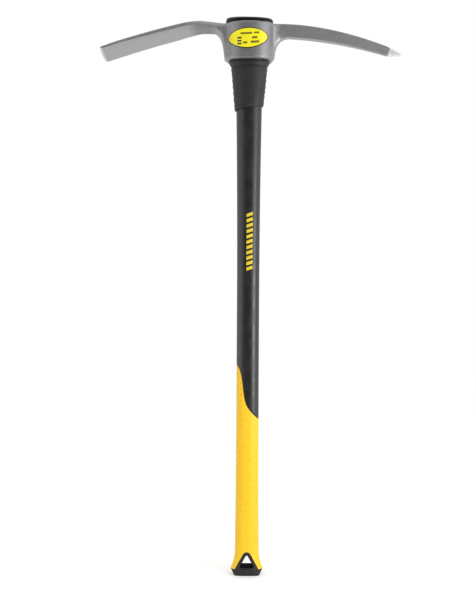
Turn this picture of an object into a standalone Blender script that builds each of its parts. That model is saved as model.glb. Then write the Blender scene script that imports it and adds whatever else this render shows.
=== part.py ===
# A pick mattock in metres. The flat face of the butt is centred on the origin and the handle
# stands along +Z. The pick points to +X, the adze to -X, and the label faces -Y.
import math

import bmesh
import bpy
from mathutils import Vector

# Gap between two pieces that touch
CLEARANCE = 0.0003

# Whole tool
OVERALL_HEIGHT = 0.9140

# Eye of the head. Its plan outline is a superellipse with this exponent.
EYE_HEIGHT = 0.0603
EYE_HALF_LENGTH = 0.0392
EYE_HALF_DEPTH = 0.0310
EYE_SHAPE = 2.4
EYE_RIM_ROUND = 0.0026
EYE_FOOT_ROUND = 0.0055
EYE_FOOT_HEIGHT = 0.0042
RIM_LIFT_FROM = 0.0200
PICK_RIM_LIFT = 0.0027
ADZE_RIM_LIFT = 0.0010
EYE_END_WALL = 0.0065
EYE_SIDE_WALL = 0.0070
BORE_END_TAPER = 0.0050
BORE_SIDE_TAPER = 0.0060
BOND_THICKNESS = 0.0012

# Adze. Distances run outwards from the handle's axis, and droop is how far its top has
# fallen at the cutting edge. A thick neck with a flat belly flares into a thin blade: the
# flank of the neck turns into the underside of the blade's wings.
ADZE_REACH = 0.2436
ADZE_WIDTH = 0.0766
ADZE_SHOULDER_AT = 0.1050
ADZE_SHOULDER_WIDTH = 0.0600
ADZE_NECK_AT = 0.0500
ADZE_NECK_WIDTH = 0.0350
ADZE_FLARE_POWER = 1.35
ADZE_NECK_THICKNESS = 0.0116
ADZE_NECK_FLANK = 0.0094
ADZE_NECK_TOP_WIDTH = 0.0300
ADZE_BELLY_WIDTH = 0.0270
ADZE_BELLY_FADE = 0.0450
ADZE_WIDTH_IN_BELLY = 0.8
ADZE_BELLY_DROP = 0.0036
ADZE_WING_HEIGHT = 0.0065
ADZE_END_THICKNESS = 0.0042
ADZE_THINNING_POWER = 1.5
ADZE_HUMP_AT = 0.0780
ADZE_HUMP = 0.0028
ADZE_SHOULDER_POWER = 1.6
ADZE_DROOP = 0.0493
ADZE_DROOP_POWER = 1.18
ADZE_CROWN = 0.0010
ADZE_CORNER = 0.0012
ADZE_BEVEL_LENGTH = 0.0050
ADZE_EDGE_LAND = 0.0016
ADZE_EDGE_BOW = 0.0015
ADZE_EDGE_SKEW = 0.05
ADZE_BOW_FROM = 0.75

# Pick. Its ground point starts at the shoulder, where droop is measured.
PICK_REACH = 0.2500
PICK_POINT_LENGTH = 0.0220
PICK_HEIGHT = 0.0221
PICK_END_HEIGHT = 0.0154
PICK_THINNING_POWER = 1.9
PICK_WIDTH = 0.0136
PICK_END_WIDTH = 0.0072
PICK_NARROWING_POWER = 2.2
PICK_HUMP = 0.0027
PICK_DROOP = 0.0360
PICK_DROOP_POWER = 1.85
PICK_BEND_AT = 0.0480
PICK_POINT_DROP = 0.0114
PICK_TIP_SIZE = 0.0032
PICK_CORNER = 0.0018
ARM_SHOULDER_DIP = 0.0005
ARM_BURIED = 0.0039
ADZE_ROOT = 0.0040
PICK_ROOT = 0.0010

# Webs down the two ends of the eye, under the arms
ADZE_WEB_THICKNESS = 0.0240
ADZE_WEB_REACH = 0.0640
PICK_WEB_THICKNESS = 0.0170
PICK_WEB_REACH = 0.0740
WEB_PROUD = 0.0018
WEB_FOOT = 0.0050
WEB_CORNER = 0.0022
WEB_LEAN = 0.0026
WEB_RISE_SHARE = 0.46
WEB_TURN_SHARE = 0.17
WEB_SEAT = 0.0004
WEB_BURIED = 0.0030

# Handle: half widths lie along X and half depths along Y
WAIST_AT = 0.4000
WAIST_HALF_WIDTH = 0.0184
WAIST_HALF_DEPTH = 0.0145
SHAFT_TOP_HALF_WIDTH = 0.0211
SHAFT_TOP_HALF_DEPTH = 0.0152
SHAFT_TOP_POWER = 2.4
SHAFT_BUTT_HALF_WIDTH = 0.0198
SHAFT_BUTT_POWER = 3.7
SHAFT_SHAPE = 2.15
SHAFT_NECK_POWER = 1.15
CORE_HALF_WIDTH = 0.0118
CORE_HALF_DEPTH = 0.0084

# Collar under the head
COLLAR_HEIGHT = 0.0762
COLLAR_WALL = 0.0043
COLLAR_HEM_WALL = 0.0016
COLLAR_WALL_POWER = 0.35
COLLAR_LIP_END = 0.0028
COLLAR_LIP_SIDE = 0.0008
COLLAR_LIP_HEIGHT = 0.0074
COLLAR_LIP_LAND = 0.0030
COLLAR_HEM_SLANT = 0.0070
COLLAR_SLANT_HEIGHT = 0.0390
COLLAR_GROOVE = 0.0010
COLLAR_GROOVE_WIDTH = 0.0030
COLLAR_LIP_STEP = 0.0003

# Grip: its top edge falls in an S from -X to +X
GRIP_WALL = 0.0028
GRIP_STEP_AT = 0.3019
GRIP_STEP_OFFSET = 0.0079
GRIP_STEP_RISE = 0.0576
GRIP_STEP_WIDTH = 0.0042
GRIP_STEP_SLOPE = 0.92
GRIP_FLOOR = 0.0060

# Butt knob, with its tongue between the two lobes of the grip and its hang hole
KNOB_BASE_HALF_WIDTH = 0.0210
KNOB_BASE_HALF_DEPTH = 0.0125
KNOB_BASE_ROUND = 0.0016
KNOB_BASE_SHAPE = 5.0
KNOB_RIM_HEIGHT = 0.0108
KNOB_RIM_HALF_WIDTH = 0.0265
KNOB_RIM_HALF_DEPTH = 0.0165
FLARE_HEIGHT = 0.0400
TONGUE_HALF_WIDTH = 0.0194
TONGUE_TOP = 0.0393
TONGUE_RADIUS = 0.0070
SPIGOT_LENGTH = 0.0120
HOLE_BOTTOM = 0.0150
HOLE_TOP = 0.0325
HOLE_HALF_WIDTH = 0.0095
HOLE_CORNER = 0.0020
HOLE_FLARE = 0.0030
HOLE_FLARE_DEPTH = 0.0050

# Cap over the eye
CAP_HEIGHT = 0.0105
CAP_LIP = 0.0062
CAP_SIDE_LIP = 0.0024
CAP_SIDE_HEIGHT = 0.0044
CAP_SLOPE = 0.02
CAP_SHAPE = 2.7
CAP_CREST_INSET = 0.0095
CAP_END_ROUND = 0.3
CAP_SIDE_ROUND = 2.1

# Label on the front cheek of the eye
LABEL_HALF_LENGTH = 0.0325
LABEL_HALF_HEIGHT = 0.0167
LABEL_BELOW_RIM = 0.0285
LABEL_OFFSET = -0.0022
LABEL_TILT = 0.042
LABEL_BOW = 0.0019
LABEL_THICKNESS = 0.0005
LABEL_SHAPE = 1.85
LABEL_BLUNT_ENDS = 0.04

# A rounded edge has one ring part way, an eased corner starts this far along its face, and a
# corner always leaves this share of its wall flat
ROUND_MIDDLE = 0.3
EASED = 0.12
CROWN_MIDDLE = 0.3
WALL_LEFT_FLAT = 0.1

# How far a cutter runs past what it cuts
CUT_PAST = 0.0020

# How finely the round shapes are drawn
POINTS_AROUND = 44
CORNER_STEPS = 2
ARM_RINGS = 15
SHOULDER_RINGS = 5
LABEL_RINGS = 22
CURVE_POINTS = 14
S_CURVE_POINTS = 30
TONGUE_POINTS = 9
HOLE_CORNER_POINTS = 5
CAP_STEPS = 5
COLLAR_RINGS = 9

# Heights that follow from the sizes above
EYE_TOP = OVERALL_HEIGHT - CAP_HEIGHT
EYE_BOTTOM = EYE_TOP - EYE_HEIGHT
COLLAR_TOP = EYE_BOTTOM - CLEARANCE
COLLAR_BOTTOM = EYE_BOTTOM - COLLAR_HEIGHT
JACKET_TOP = COLLAR_TOP - COLLAR_LIP_HEIGHT / 2
JACKET_BOTTOM = TONGUE_TOP + GRIP_FLOOR
SPIGOT_BOTTOM = TONGUE_TOP - TONGUE_RADIUS
SPIGOT_TOP = JACKET_BOTTOM + SPIGOT_LENGTH
GRIP_BOTTOM = KNOB_RIM_HEIGHT + CLEARANCE
GRIP_TOP = GRIP_STEP_AT + GRIP_STEP_RISE


def clear_scene():
    for old in list(bpy.data.objects):
        bpy.data.objects.remove(old)


def make_material(name, colour, roughness, metallic=0.0):
    material = bpy.data.materials.new(name)
    material.use_nodes = True
    shader = material.node_tree.nodes["Principled BSDF"]
    shader.inputs["Base Color"].default_value = (*colour, 1.0)
    shader.inputs["Roughness"].default_value = roughness
    shader.inputs["Metallic"].default_value = metallic
    return material


def smooth(share):
    """Eases a share from 0 to 1, and holds it there outside that range."""
    share = min(max(share, 0.0), 1.0)
    return share * share * (3.0 - 2.0 * share)


def spread(start, stop, count):
    return [start + (stop - start) * i / (count - 1) for i in range(count)]


def between(start, stop, share):
    return start + (stop - start) * share


def oval(half_width, half_depth, z, shape):
    """One ring of a superellipse, level at z."""
    ring = []
    for i in range(POINTS_AROUND):
        angle = 2.0 * math.pi * i / POINTS_AROUND
        c, s = math.cos(angle), math.sin(angle)
        x = half_width * math.copysign(abs(c) ** (2.0 / shape), c)
        y = half_depth * math.copysign(abs(s) ** (2.0 / shape), s)
        ring.append(Vector((x, y, z)))
    return ring


def loft(name, rings, closed=False, fan_caps=False):
    """A mesh object whose skin runs through the rings: capped at both ends, or joined end to end.

    A cap that isn't flat is closed by a fan of triangles round its middle.
    """
    bm = bmesh.new()
    rows = [[bm.verts.new(point) for point in ring] for ring in rings]
    pairs = list(zip(rows, rows[1:]))
    if closed:
        pairs.append((rows[-1], rows[0]))
    else:
        caps = [bm.faces.new(rows[0]), bm.faces.new(rows[-1])]
        if fan_caps:
            bmesh.ops.poke(bm, faces=caps)
    for first, second in pairs:
        for i in range(len(first)):
            j = (i + 1) % len(first)
            bm.faces.new((first[i], first[j], second[j], second[i]))
    bmesh.ops.recalc_face_normals(bm, faces=bm.faces)
    mesh = bpy.data.meshes.new(name)
    bm.to_mesh(mesh)
    bm.free()
    made = bpy.data.objects.new(name, mesh)
    bpy.context.scene.collection.objects.link(made)
    return made


def prism(name, outline, half_depth):
    """An outline of (x, z) points, pushed out along Y to both sides."""
    front = [Vector((x, -half_depth, z)) for x, z in outline]
    back = [Vector((x, half_depth, z)) for x, z in outline]
    return as_helper(loft(name, [front, back]))


def tube(name, outer, inner):
    """Rings up the outside, then down the inside."""
    return loft(name, outer + inner[::-1], closed=True)


def as_helper(made):
    made.hide_render = True
    made.display_type = "WIRE"
    return made


def boolean(target, other, operation):
    modifier = target.modifiers.new(other.name, "BOOLEAN")
    modifier.operation = operation
    modifier.solver = "EXACT"
    modifier.object = other


def finish(made, material, sharp_angle=35.0):
    made.data.materials.append(material)
    made.data.shade_smooth()
    made.data.set_sharp_from_angle(angle=math.radians(sharp_angle))


def rounded_section(x, low, high, half, corner):
    """A ring across an arm at x: a rectangle with round corners and points along its flats."""
    most = 1.0 - WALL_LEFT_FLAT
    corner = min(corner, most * (high - low) / 2.0, most * half)
    centres = (
        (half - corner, high - corner, 0.0),
        (corner - half, high - corner, 90.0),
        (corner - half, low + corner, 180.0),
        (half - corner, low + corner, 270.0),
    )
    flats = {0: high, 2: low}
    ring = []
    for place, (y, z, start) in enumerate(centres):
        for step in range(CORNER_STEPS + 1):
            angle = math.radians(start + 90.0 * step / CORNER_STEPS)
            ring.append([y + corner * math.cos(angle), z + corner * math.sin(angle)])
        if place in flats:
            side = 1.0 if place == 0 else -1.0
            for share in (0.5, 0.0, -0.5):
                ring.append([side * share * (half - corner), flats[place]])
    return [Vector((x, y, z)) for y, z in ring]


# Handle outline, shared by the jacket, the grip, the knob and the collar


def shaft_size(z):
    """Half width and half depth of the handle at height z, without the flare at the butt."""
    if z < WAIST_AT:
        share = min((WAIST_AT - z) / (WAIST_AT - FLARE_HEIGHT), 1.0) ** SHAFT_BUTT_POWER
        return between(WAIST_HALF_WIDTH, SHAFT_BUTT_HALF_WIDTH, share), WAIST_HALF_DEPTH
    share = min((z - WAIST_AT) / (COLLAR_BOTTOM - WAIST_AT), 1.0) ** SHAFT_TOP_POWER
    half_width = between(WAIST_HALF_WIDTH, SHAFT_TOP_HALF_WIDTH, share)
    half_depth = between(WAIST_HALF_DEPTH, SHAFT_TOP_HALF_DEPTH, share)
    if z > COLLAR_BOTTOM:
        rise = min((z - COLLAR_BOTTOM) / (JACKET_TOP - COLLAR_BOTTOM), 1.0) ** SHAFT_NECK_POWER
        end_width, end_depth = block_size(EYE_BOTTOM)
        half_width = between(half_width, end_width, rise)
        half_depth = between(half_depth, end_depth, rise)
    return half_width, half_depth


def handle_size(z):
    """The same with the flare that widens to the rim of the knob."""
    half_width, half_depth = shaft_size(z)
    flare = max(FLARE_HEIGHT - z, 0.0) / (FLARE_HEIGHT - KNOB_RIM_HEIGHT)
    share = min(flare, 1.0) ** 2
    return (
        between(half_width, KNOB_RIM_HALF_WIDTH, share),
        between(half_depth, KNOB_RIM_HALF_DEPTH, share),
    )


def bore_size(z):
    """Half length and half depth of the tapered bore of the eye."""
    down = (EYE_TOP - z) / EYE_HEIGHT
    return (
        EYE_HALF_LENGTH - EYE_END_WALL - BORE_END_TAPER * down,
        EYE_HALF_DEPTH - EYE_SIDE_WALL - BORE_SIDE_TAPER * down,
    )


def block_size(z):
    half_length, half_depth = bore_size(z)
    inset = 2.0 * CLEARANCE + BOND_THICKNESS
    return half_length - inset, half_depth - inset


def handle_rings(heights, inset=0.0):
    rings = []
    for z in heights:
        half_width, half_depth = handle_size(z)
        rings.append(oval(half_width - inset, half_depth - inset, z, SHAFT_SHAPE))
    return rings


def core_rings(heights, grow=0.0):
    return [oval(CORE_HALF_WIDTH + grow, CORE_HALF_DEPTH + grow, z, 2.0) for z in heights]


# Outlines in the XZ plane


def s_curve(x):
    """Height of the grip's top edge at x."""
    along = (x + GRIP_STEP_OFFSET) / GRIP_STEP_WIDTH
    fall = GRIP_STEP_RISE / 2.0 * along / math.sqrt(1.0 + along * along)
    return GRIP_STEP_AT - GRIP_STEP_SLOPE * x - fall


def tongue_outline(grow=0.0):
    """The A shape of the knob's tongue, grown by a clearance, down to below the rim."""
    radius = TONGUE_RADIUS + grow
    centre = TONGUE_TOP - TONGUE_RADIUS
    drop = centre - KNOB_RIM_HEIGHT
    reach = math.hypot(TONGUE_HALF_WIDTH, drop)
    lean = math.atan2(TONGUE_HALF_WIDTH, drop) - math.asin(TONGUE_RADIUS / reach)
    arc = [
        (radius * math.sin(a), centre + radius * math.cos(a))
        for a in spread(-math.pi / 2.0 + lean, math.pi / 2.0 - lean, TONGUE_POINTS)
    ]
    foot = TONGUE_HALF_WIDTH + grow / math.cos(lean)
    return [(-foot, KNOB_RIM_HEIGHT)] + arc + [(foot, KNOB_RIM_HEIGHT)]


def hole_outline(grow=0.0):
    """A triangle with round corners, point up."""
    corner = HOLE_CORNER + grow
    half = HOLE_HALF_WIDTH - HOLE_CORNER
    low = HOLE_BOTTOM + HOLE_CORNER
    high = HOLE_TOP - HOLE_CORNER
    lean = math.degrees(math.atan2(half, high - low))
    corners = (
        (half, low, -90.0, lean),
        (0.0, high, lean, 180.0 - lean),
        (-half, low, 180.0 - lean, 270.0),
    )
    outline = []
    for x, z, start, stop in corners:
        for angle in spread(math.radians(start), math.radians(stop), HOLE_CORNER_POINTS):
            outline.append((x + corner * math.cos(angle), z + corner * math.sin(angle)))
    return outline


def web_curve(side, reach, bottom, inset=0.0):
    """From the foot of the web up and out to the underside of the arm, as a Bezier curve."""
    foot = EYE_HALF_LENGTH + WEB_PROUD
    controls = (
        (foot, EYE_BOTTOM + WEB_FOOT),
        (foot + WEB_LEAN, EYE_BOTTOM + WEB_RISE_SHARE * EYE_HEIGHT),
        (foot + WEB_TURN_SHARE * (reach - foot), bottom),
        (reach, bottom),
    )
    points = []
    for t in spread(0.0, 1.0, CURVE_POINTS):
        weights = ((1 - t) ** 3, 3 * t * (1 - t) ** 2, 3 * t * t * (1 - t), t**3)
        x = sum(w * c[0] for w, c in zip(weights, controls))
        z = sum(w * c[1] for w, c in zip(weights, controls))
        points.append((side * (x - inset), z + inset))
    return points


# Head


def rounded_rows(low, high, radius):
    """Places from low to high, each with its inset, for a wall with both edges rounded."""
    part = ROUND_MIDDLE * radius
    return (
        (low, radius),
        (low + part, part),
        (low + radius, 0.0),
        (high - radius, 0.0),
        (high - part, part),
        (high, radius),
    )


def rim_lift(x):
    """How far the rim of the eye rises at x, towards the root of the pick or the adze."""
    rise = PICK_RIM_LIFT if x > 0.0 else ADZE_RIM_LIFT
    return rise * smooth((abs(x) - RIM_LIFT_FROM) / (EYE_HALF_LENGTH - RIM_LIFT_FROM))


def eye_solid():
    rings = []
    for z, inset in rounded_rows(EYE_BOTTOM, EYE_TOP, EYE_RIM_ROUND):
        at_foot = z < (EYE_BOTTOM + EYE_TOP) / 2.0
        end_inset = inset
        if at_foot:
            end_inset = inset * EYE_FOOT_ROUND / EYE_RIM_ROUND
            z = EYE_BOTTOM + (z - EYE_BOTTOM) * EYE_FOOT_HEIGHT / EYE_RIM_ROUND
        ring = oval(EYE_HALF_LENGTH - end_inset, EYE_HALF_DEPTH - inset, z, EYE_SHAPE)
        if not at_foot:
            for point in ring:
                point.z += rim_lift(point.x)
        rings.append(ring)
    return loft("mattock_head", rings, fan_caps=True)


def adze_top(d):
    """Height of the adze's top edge at distance d from the handle's axis."""
    crest = EYE_TOP + ADZE_HUMP
    if d <= ADZE_HUMP_AT:
        inwards = (ADZE_HUMP_AT - d) / (ADZE_HUMP_AT - EYE_HALF_LENGTH)
        share = smooth(inwards**ADZE_SHOULDER_POWER)
        return crest - (ADZE_HUMP - ADZE_RIM_LIFT + ARM_SHOULDER_DIP) * share
    out = (d - ADZE_HUMP_AT) / (ADZE_REACH - ADZE_HUMP_AT)
    return crest - ADZE_DROOP * out**ADZE_DROOP_POWER


def adze_section(d):
    """The (y, z) corners of one side: crest, top edge, lower edge of the side, belly edge."""
    to_blade = min(max((d - ADZE_NECK_AT) / (ADZE_SHOULDER_AT - ADZE_NECK_AT), 0.0), 1.0)
    out = min(max((d - ADZE_SHOULDER_AT) / (ADZE_REACH - ADZE_SHOULDER_AT), 0.0), 1.0)
    flare = 1.0 - (1.0 - to_blade) ** ADZE_FLARE_POWER
    half = between(ADZE_NECK_WIDTH, ADZE_SHOULDER_WIDTH, flare) / 2.0
    half = between(half, ADZE_WIDTH / 2.0, out)
    turn = smooth(to_blade)
    high = adze_top(d)
    wing = between(ADZE_WING_HEIGHT, ADZE_END_THICKNESS, out**ADZE_THINNING_POWER)
    top_half = between(ADZE_NECK_TOP_WIDTH / 2.0, half, turn)
    edge_high = high - ADZE_CROWN * turn * (1.0 - out)
    side = between(high - ADZE_NECK_FLANK, edge_high - wing, turn)
    fade = smooth((d - ADZE_SHOULDER_AT + ADZE_BELLY_FADE / 2.0) / ADZE_BELLY_FADE)
    belly_half = between(ADZE_BELLY_WIDTH / 2.0, half * ADZE_WIDTH_IN_BELLY, fade)
    belly = between(high - ADZE_NECK_THICKNESS, side - ADZE_BELLY_DROP * (1.0 - out), turn)
    return (0.0, high), (top_half, edge_high), (half, side), (belly_half, belly)


def adze_ring(d, cut=False):
    """The whole ring at d. With cut, the underside comes up to the land of the edge."""
    crest, top, side, belly = adze_section(d)
    if cut:
        side = (side[0], top[1] - ADZE_EDGE_LAND)
        belly = (belly[0], top[1] - ADZE_EDGE_LAND)
    ease = min(ADZE_CORNER, (1.0 - WALL_LEFT_FLAT) * (top[1] - side[1]) / 2.0)
    right = [
        crest,
        (top[0] / 2.0, between(crest[1], top[1], CROWN_MIDDLE)),
        (top[0] - ease, top[1]),
        (between(top[0], side[0], EASED), between(top[1], side[1], EASED)),
        (between(side[0], top[0], EASED), between(side[1], top[1], EASED)),
        (side[0] - ease, between(side[1], belly[1], EASED)),
        belly,
        (belly[0] / 2.0, belly[1]),
    ]
    ring = right + [(0.0, belly[1])] + [(-y, z) for y, z in right[:0:-1]]
    out = min(max((d - ADZE_SHOULDER_AT) / (ADZE_REACH - ADZE_SHOULDER_AT), 0.0), 1.0)
    share = smooth((out - ADZE_BOW_FROM) / (1.0 - ADZE_BOW_FROM))
    points = []
    for y, z in ring:
        shift = ADZE_EDGE_BOW * (2.0 * y / ADZE_WIDTH) ** 2 - ADZE_EDGE_SKEW * y
        points.append(Vector((-d + share * shift, y, z)))
    return points


def adze_solid():
    bevel_at = ADZE_REACH - ADZE_BEVEL_LENGTH
    places = [EYE_HALF_LENGTH - ARM_BURIED]
    places += spread(EYE_HALF_LENGTH + ADZE_ROOT, ADZE_HUMP_AT, SHOULDER_RINGS)[:-1]
    places += spread(ADZE_HUMP_AT, bevel_at, ARM_RINGS)
    rings = [adze_ring(d) for d in places] + [adze_ring(ADZE_REACH, cut=True)]
    return as_helper(loft("adze_arm", rings, fan_caps=True))


def pick_top(d):
    shoulder = PICK_REACH - PICK_POINT_LENGTH
    start = EYE_TOP + PICK_HUMP
    if d <= PICK_BEND_AT:
        inwards = (PICK_BEND_AT - d) / (PICK_BEND_AT - EYE_HALF_LENGTH)
        return start - (PICK_HUMP - PICK_RIM_LIFT + ARM_SHOULDER_DIP) * smooth(inwards)
    if d <= shoulder:
        out = (d - PICK_BEND_AT) / (shoulder - PICK_BEND_AT)
        return start - PICK_DROOP * out**PICK_DROOP_POWER
    return start - PICK_DROOP - PICK_POINT_DROP * (d - shoulder) / PICK_POINT_LENGTH


def pick_height(d):
    shoulder = PICK_REACH - PICK_POINT_LENGTH
    out = max(d - PICK_BEND_AT, 0.0) / (shoulder - PICK_BEND_AT)
    return between(PICK_HEIGHT, PICK_END_HEIGHT, min(out, 1.0) ** PICK_THINNING_POWER)


def pick_solid():
    shoulder = PICK_REACH - PICK_POINT_LENGTH
    root = EYE_HALF_LENGTH + PICK_ROOT
    places = [EYE_HALF_LENGTH - ARM_BURIED]
    places += spread(root, PICK_BEND_AT, SHOULDER_RINGS - 1)[:-1]
    places += spread(PICK_BEND_AT, shoulder, ARM_RINGS)
    rings = []
    for d in places:
        out = max(d - PICK_BEND_AT, 0.0) / (shoulder - PICK_BEND_AT)
        flare = smooth((PICK_BEND_AT - d) / (PICK_BEND_AT - root)) * EYE_END_WALL
        narrowing = out**PICK_NARROWING_POWER
        half = between(PICK_WIDTH, PICK_END_WIDTH, narrowing) / 2.0 + flare
        high = pick_top(d)
        rings.append(rounded_section(d, high - pick_height(d), high, half, PICK_CORNER))
    tip = PICK_TIP_SIZE / 2.0
    high = pick_top(PICK_REACH)
    rings.append(rounded_section(PICK_REACH, high - PICK_TIP_SIZE, high, tip, PICK_CORNER))
    return as_helper(loft("pick_arm", rings))


def web_solid(name, side, reach, under, thickness):
    """A plate with eased edges, whose inner edge is buried in the wall of the eye."""
    inner = side * (EYE_HALF_LENGTH - ARM_BURIED)
    rings = []
    for y, inset in rounded_rows(-thickness / 2.0, thickness / 2.0, WEB_CORNER):
        curve = web_curve(side, reach, under + WEB_SEAT, inset)
        top = under + WEB_BURIED
        outline = curve + [(curve[-1][0], top), (inner, top), (inner, curve[0][1])]
        rings.append([Vector((x, y, z)) for x, z in outline])
    return as_helper(loft(name, rings))


def build_head(material):
    head = eye_solid()
    adze_under = adze_section(ADZE_WEB_REACH)[-1][1]
    pick_under = pick_top(PICK_WEB_REACH) - pick_height(PICK_WEB_REACH)
    parts = (
        adze_solid(),
        pick_solid(),
        web_solid("adze_web", -1.0, ADZE_WEB_REACH, adze_under, ADZE_WEB_THICKNESS),
        web_solid("pick_web", 1.0, PICK_WEB_REACH, pick_under, PICK_WEB_THICKNESS),
    )
    for piece in parts:
        boolean(head, piece, "UNION")
    ends = (EYE_BOTTOM - CUT_PAST, EYE_TOP + CUT_PAST)
    rings = [oval(*bore_size(z), z, SHAFT_SHAPE) for z in ends]
    boolean(head, as_helper(loft("eye_bore", rings)), "DIFFERENCE")
    finish(head, material)


def build_eye_fill(block_material, bond_material):
    heights = (EYE_BOTTOM + CLEARANCE, EYE_TOP)
    outer, inner = [], []
    for z in heights:
        half_length, half_depth = bore_size(z)
        outer.append(oval(half_length - CLEARANCE, half_depth - CLEARANCE, z, SHAFT_SHAPE))
        inset = CLEARANCE + BOND_THICKNESS
        inner.append(oval(half_length - inset, half_depth - inset, z, SHAFT_SHAPE))
    finish(tube("eye_bond", outer, inner), bond_material)
    heights = (JACKET_TOP + CLEARANCE, EYE_BOTTOM, EYE_TOP)
    outer = [oval(*block_size(max(z, EYE_BOTTOM)), z, SHAFT_SHAPE) for z in heights]
    finish(tube("eye_block", outer, core_rings(heights, CLEARANCE)), block_material)


def build_cap(material):
    half_length, half_depth = bore_size(EYE_TOP)
    half_length += CAP_LIP
    half_depth += CAP_SIDE_LIP
    bottom = EYE_TOP + CLEARANCE
    crown = CAP_HEIGHT - CAP_SIDE_HEIGHT
    shoulder = EYE_TOP + CAP_SIDE_HEIGHT
    rows = [(bottom, 0.0)]
    for i in range(CAP_STEPS):
        angle = math.pi / 2.0 * i / CAP_STEPS
        rows.append((shoulder + crown * math.sin(angle), crown * (1.0 - math.cos(angle))))
    rows.append((OVERALL_HEIGHT, CAP_CREST_INSET))
    crest = half_length - CAP_END_ROUND * CAP_CREST_INSET
    rings = []
    for z, inset in rows:
        end_inset, side_inset = CAP_END_ROUND * inset, CAP_SIDE_ROUND * inset
        ring = oval(half_length - end_inset, half_depth - side_inset, z, CAP_SHAPE)
        share = (z - bottom) / (OVERALL_HEIGHT - bottom)
        for point in ring:
            point.z += (1.0 - share) * rim_lift(point.x)
            point.z -= share * CAP_SLOPE * (point.x + crest)
        rings.append(ring)
    finish(loft("top_cap", rings, fan_caps=True), material)


def build_label(material):
    """A thin plate that follows the cheek, cut to an oval with narrow ends."""
    blunt = LABEL_BLUNT_ENDS * math.pi
    rings = []
    for angle in spread(blunt, math.pi - blunt, LABEL_RINGS):
        u = -math.cos(angle)
        x = LABEL_OFFSET + LABEL_HALF_LENGTH * u
        rise = LABEL_HALF_HEIGHT * (1.0 - abs(u) ** LABEL_SHAPE) ** (1.0 / LABEL_SHAPE)
        centre = EYE_TOP - LABEL_BELOW_RIM + LABEL_TILT * x + LABEL_BOW * u**2
        along = abs(x) / EYE_HALF_LENGTH
        share = (1.0 - along**EYE_SHAPE) ** (1.0 / EYE_SHAPE)
        slope = EYE_HALF_DEPTH / EYE_HALF_LENGTH * (along / share) ** (EYE_SHAPE - 1.0)
        away = Vector((math.copysign(slope, x), -1.0, 0.0)).normalized()
        cheek = Vector((x, -EYE_HALF_DEPTH * share, centre))
        back = cheek + away * CLEARANCE
        front = back + away * LABEL_THICKNESS
        up = Vector((0.0, 0.0, rise))
        rings.append([front - up, front + up, back + up, back - up])
    finish(loft("head_label", rings), material)


# Handle


def build_jacket(material):
    heights = spread(JACKET_BOTTOM + CLEARANCE, WAIST_AT, 9)[:-1]
    heights += spread(WAIST_AT, COLLAR_BOTTOM, 9)[:-1]
    heights += spread(COLLAR_BOTTOM, JACKET_TOP, 6)
    inset = GRIP_WALL + CLEARANCE
    neck_heights = spread(JACKET_BOTTOM + CLEARANCE, GRIP_TOP + GRIP_WALL, 8)
    jacket = loft("shaft_jacket", handle_rings(heights))
    reach = 2.0 * KNOB_RIM_HALF_WIDTH
    edge = [(x, s_curve(x)) for x in spread(reach / 2.0, -reach / 2.0, S_CURVE_POINTS)]
    below = prism("above_grip", [(-reach, 0.0), (reach, 0.0)] + edge, reach)
    boolean(jacket, below, "DIFFERENCE")
    boolean(jacket, as_helper(loft("jacket_neck", handle_rings(neck_heights, inset))), "UNION")
    ends = (JACKET_BOTTOM - CUT_PAST, JACKET_TOP + CUT_PAST)
    bore = loft("core_bore", core_rings(ends, CLEARANCE))
    boolean(jacket, as_helper(bore), "DIFFERENCE")
    finish(jacket, material)


def build_core(material):
    heights = (SPIGOT_TOP + CLEARANCE, EYE_TOP - CLEARANCE)
    finish(loft("fibreglass_core", core_rings(heights)), material)


def build_grip(material):
    heights = spread(GRIP_BOTTOM, FLARE_HEIGHT, 8)[:-1]
    heights += spread(FLARE_HEIGHT, GRIP_TOP, 10)
    grip = loft("grip_sleeve", handle_rings(heights))
    reach = 2.0 * KNOB_RIM_HALF_WIDTH
    places = spread(-reach / 2.0, reach / 2.0, S_CURVE_POINTS)
    edge = [(x, s_curve(x) - CLEARANCE) for x in places]
    past = GRIP_TOP + reach
    boolean(grip, prism("grip_edge", edge + [(reach, past), (-reach, past)], reach), "DIFFERENCE")
    room = loft("grip_room", handle_rings(spread(JACKET_BOTTOM, past, 10), GRIP_WALL))
    boolean(grip, as_helper(room), "DIFFERENCE")
    notch = tongue_outline(CLEARANCE)
    low = KNOB_RIM_HEIGHT - CLEARANCE
    notch = [(notch[0][0], low)] + notch + [(notch[-1][0], low)]
    boolean(grip, prism("tongue_notch", notch, reach), "DIFFERENCE")
    heights = (SPIGOT_BOTTOM - CLEARANCE, JACKET_BOTTOM + CLEARANCE)
    boolean(grip, as_helper(loft("spigot_room", core_rings(heights, CLEARANCE))), "DIFFERENCE")
    finish(grip, material)


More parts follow.
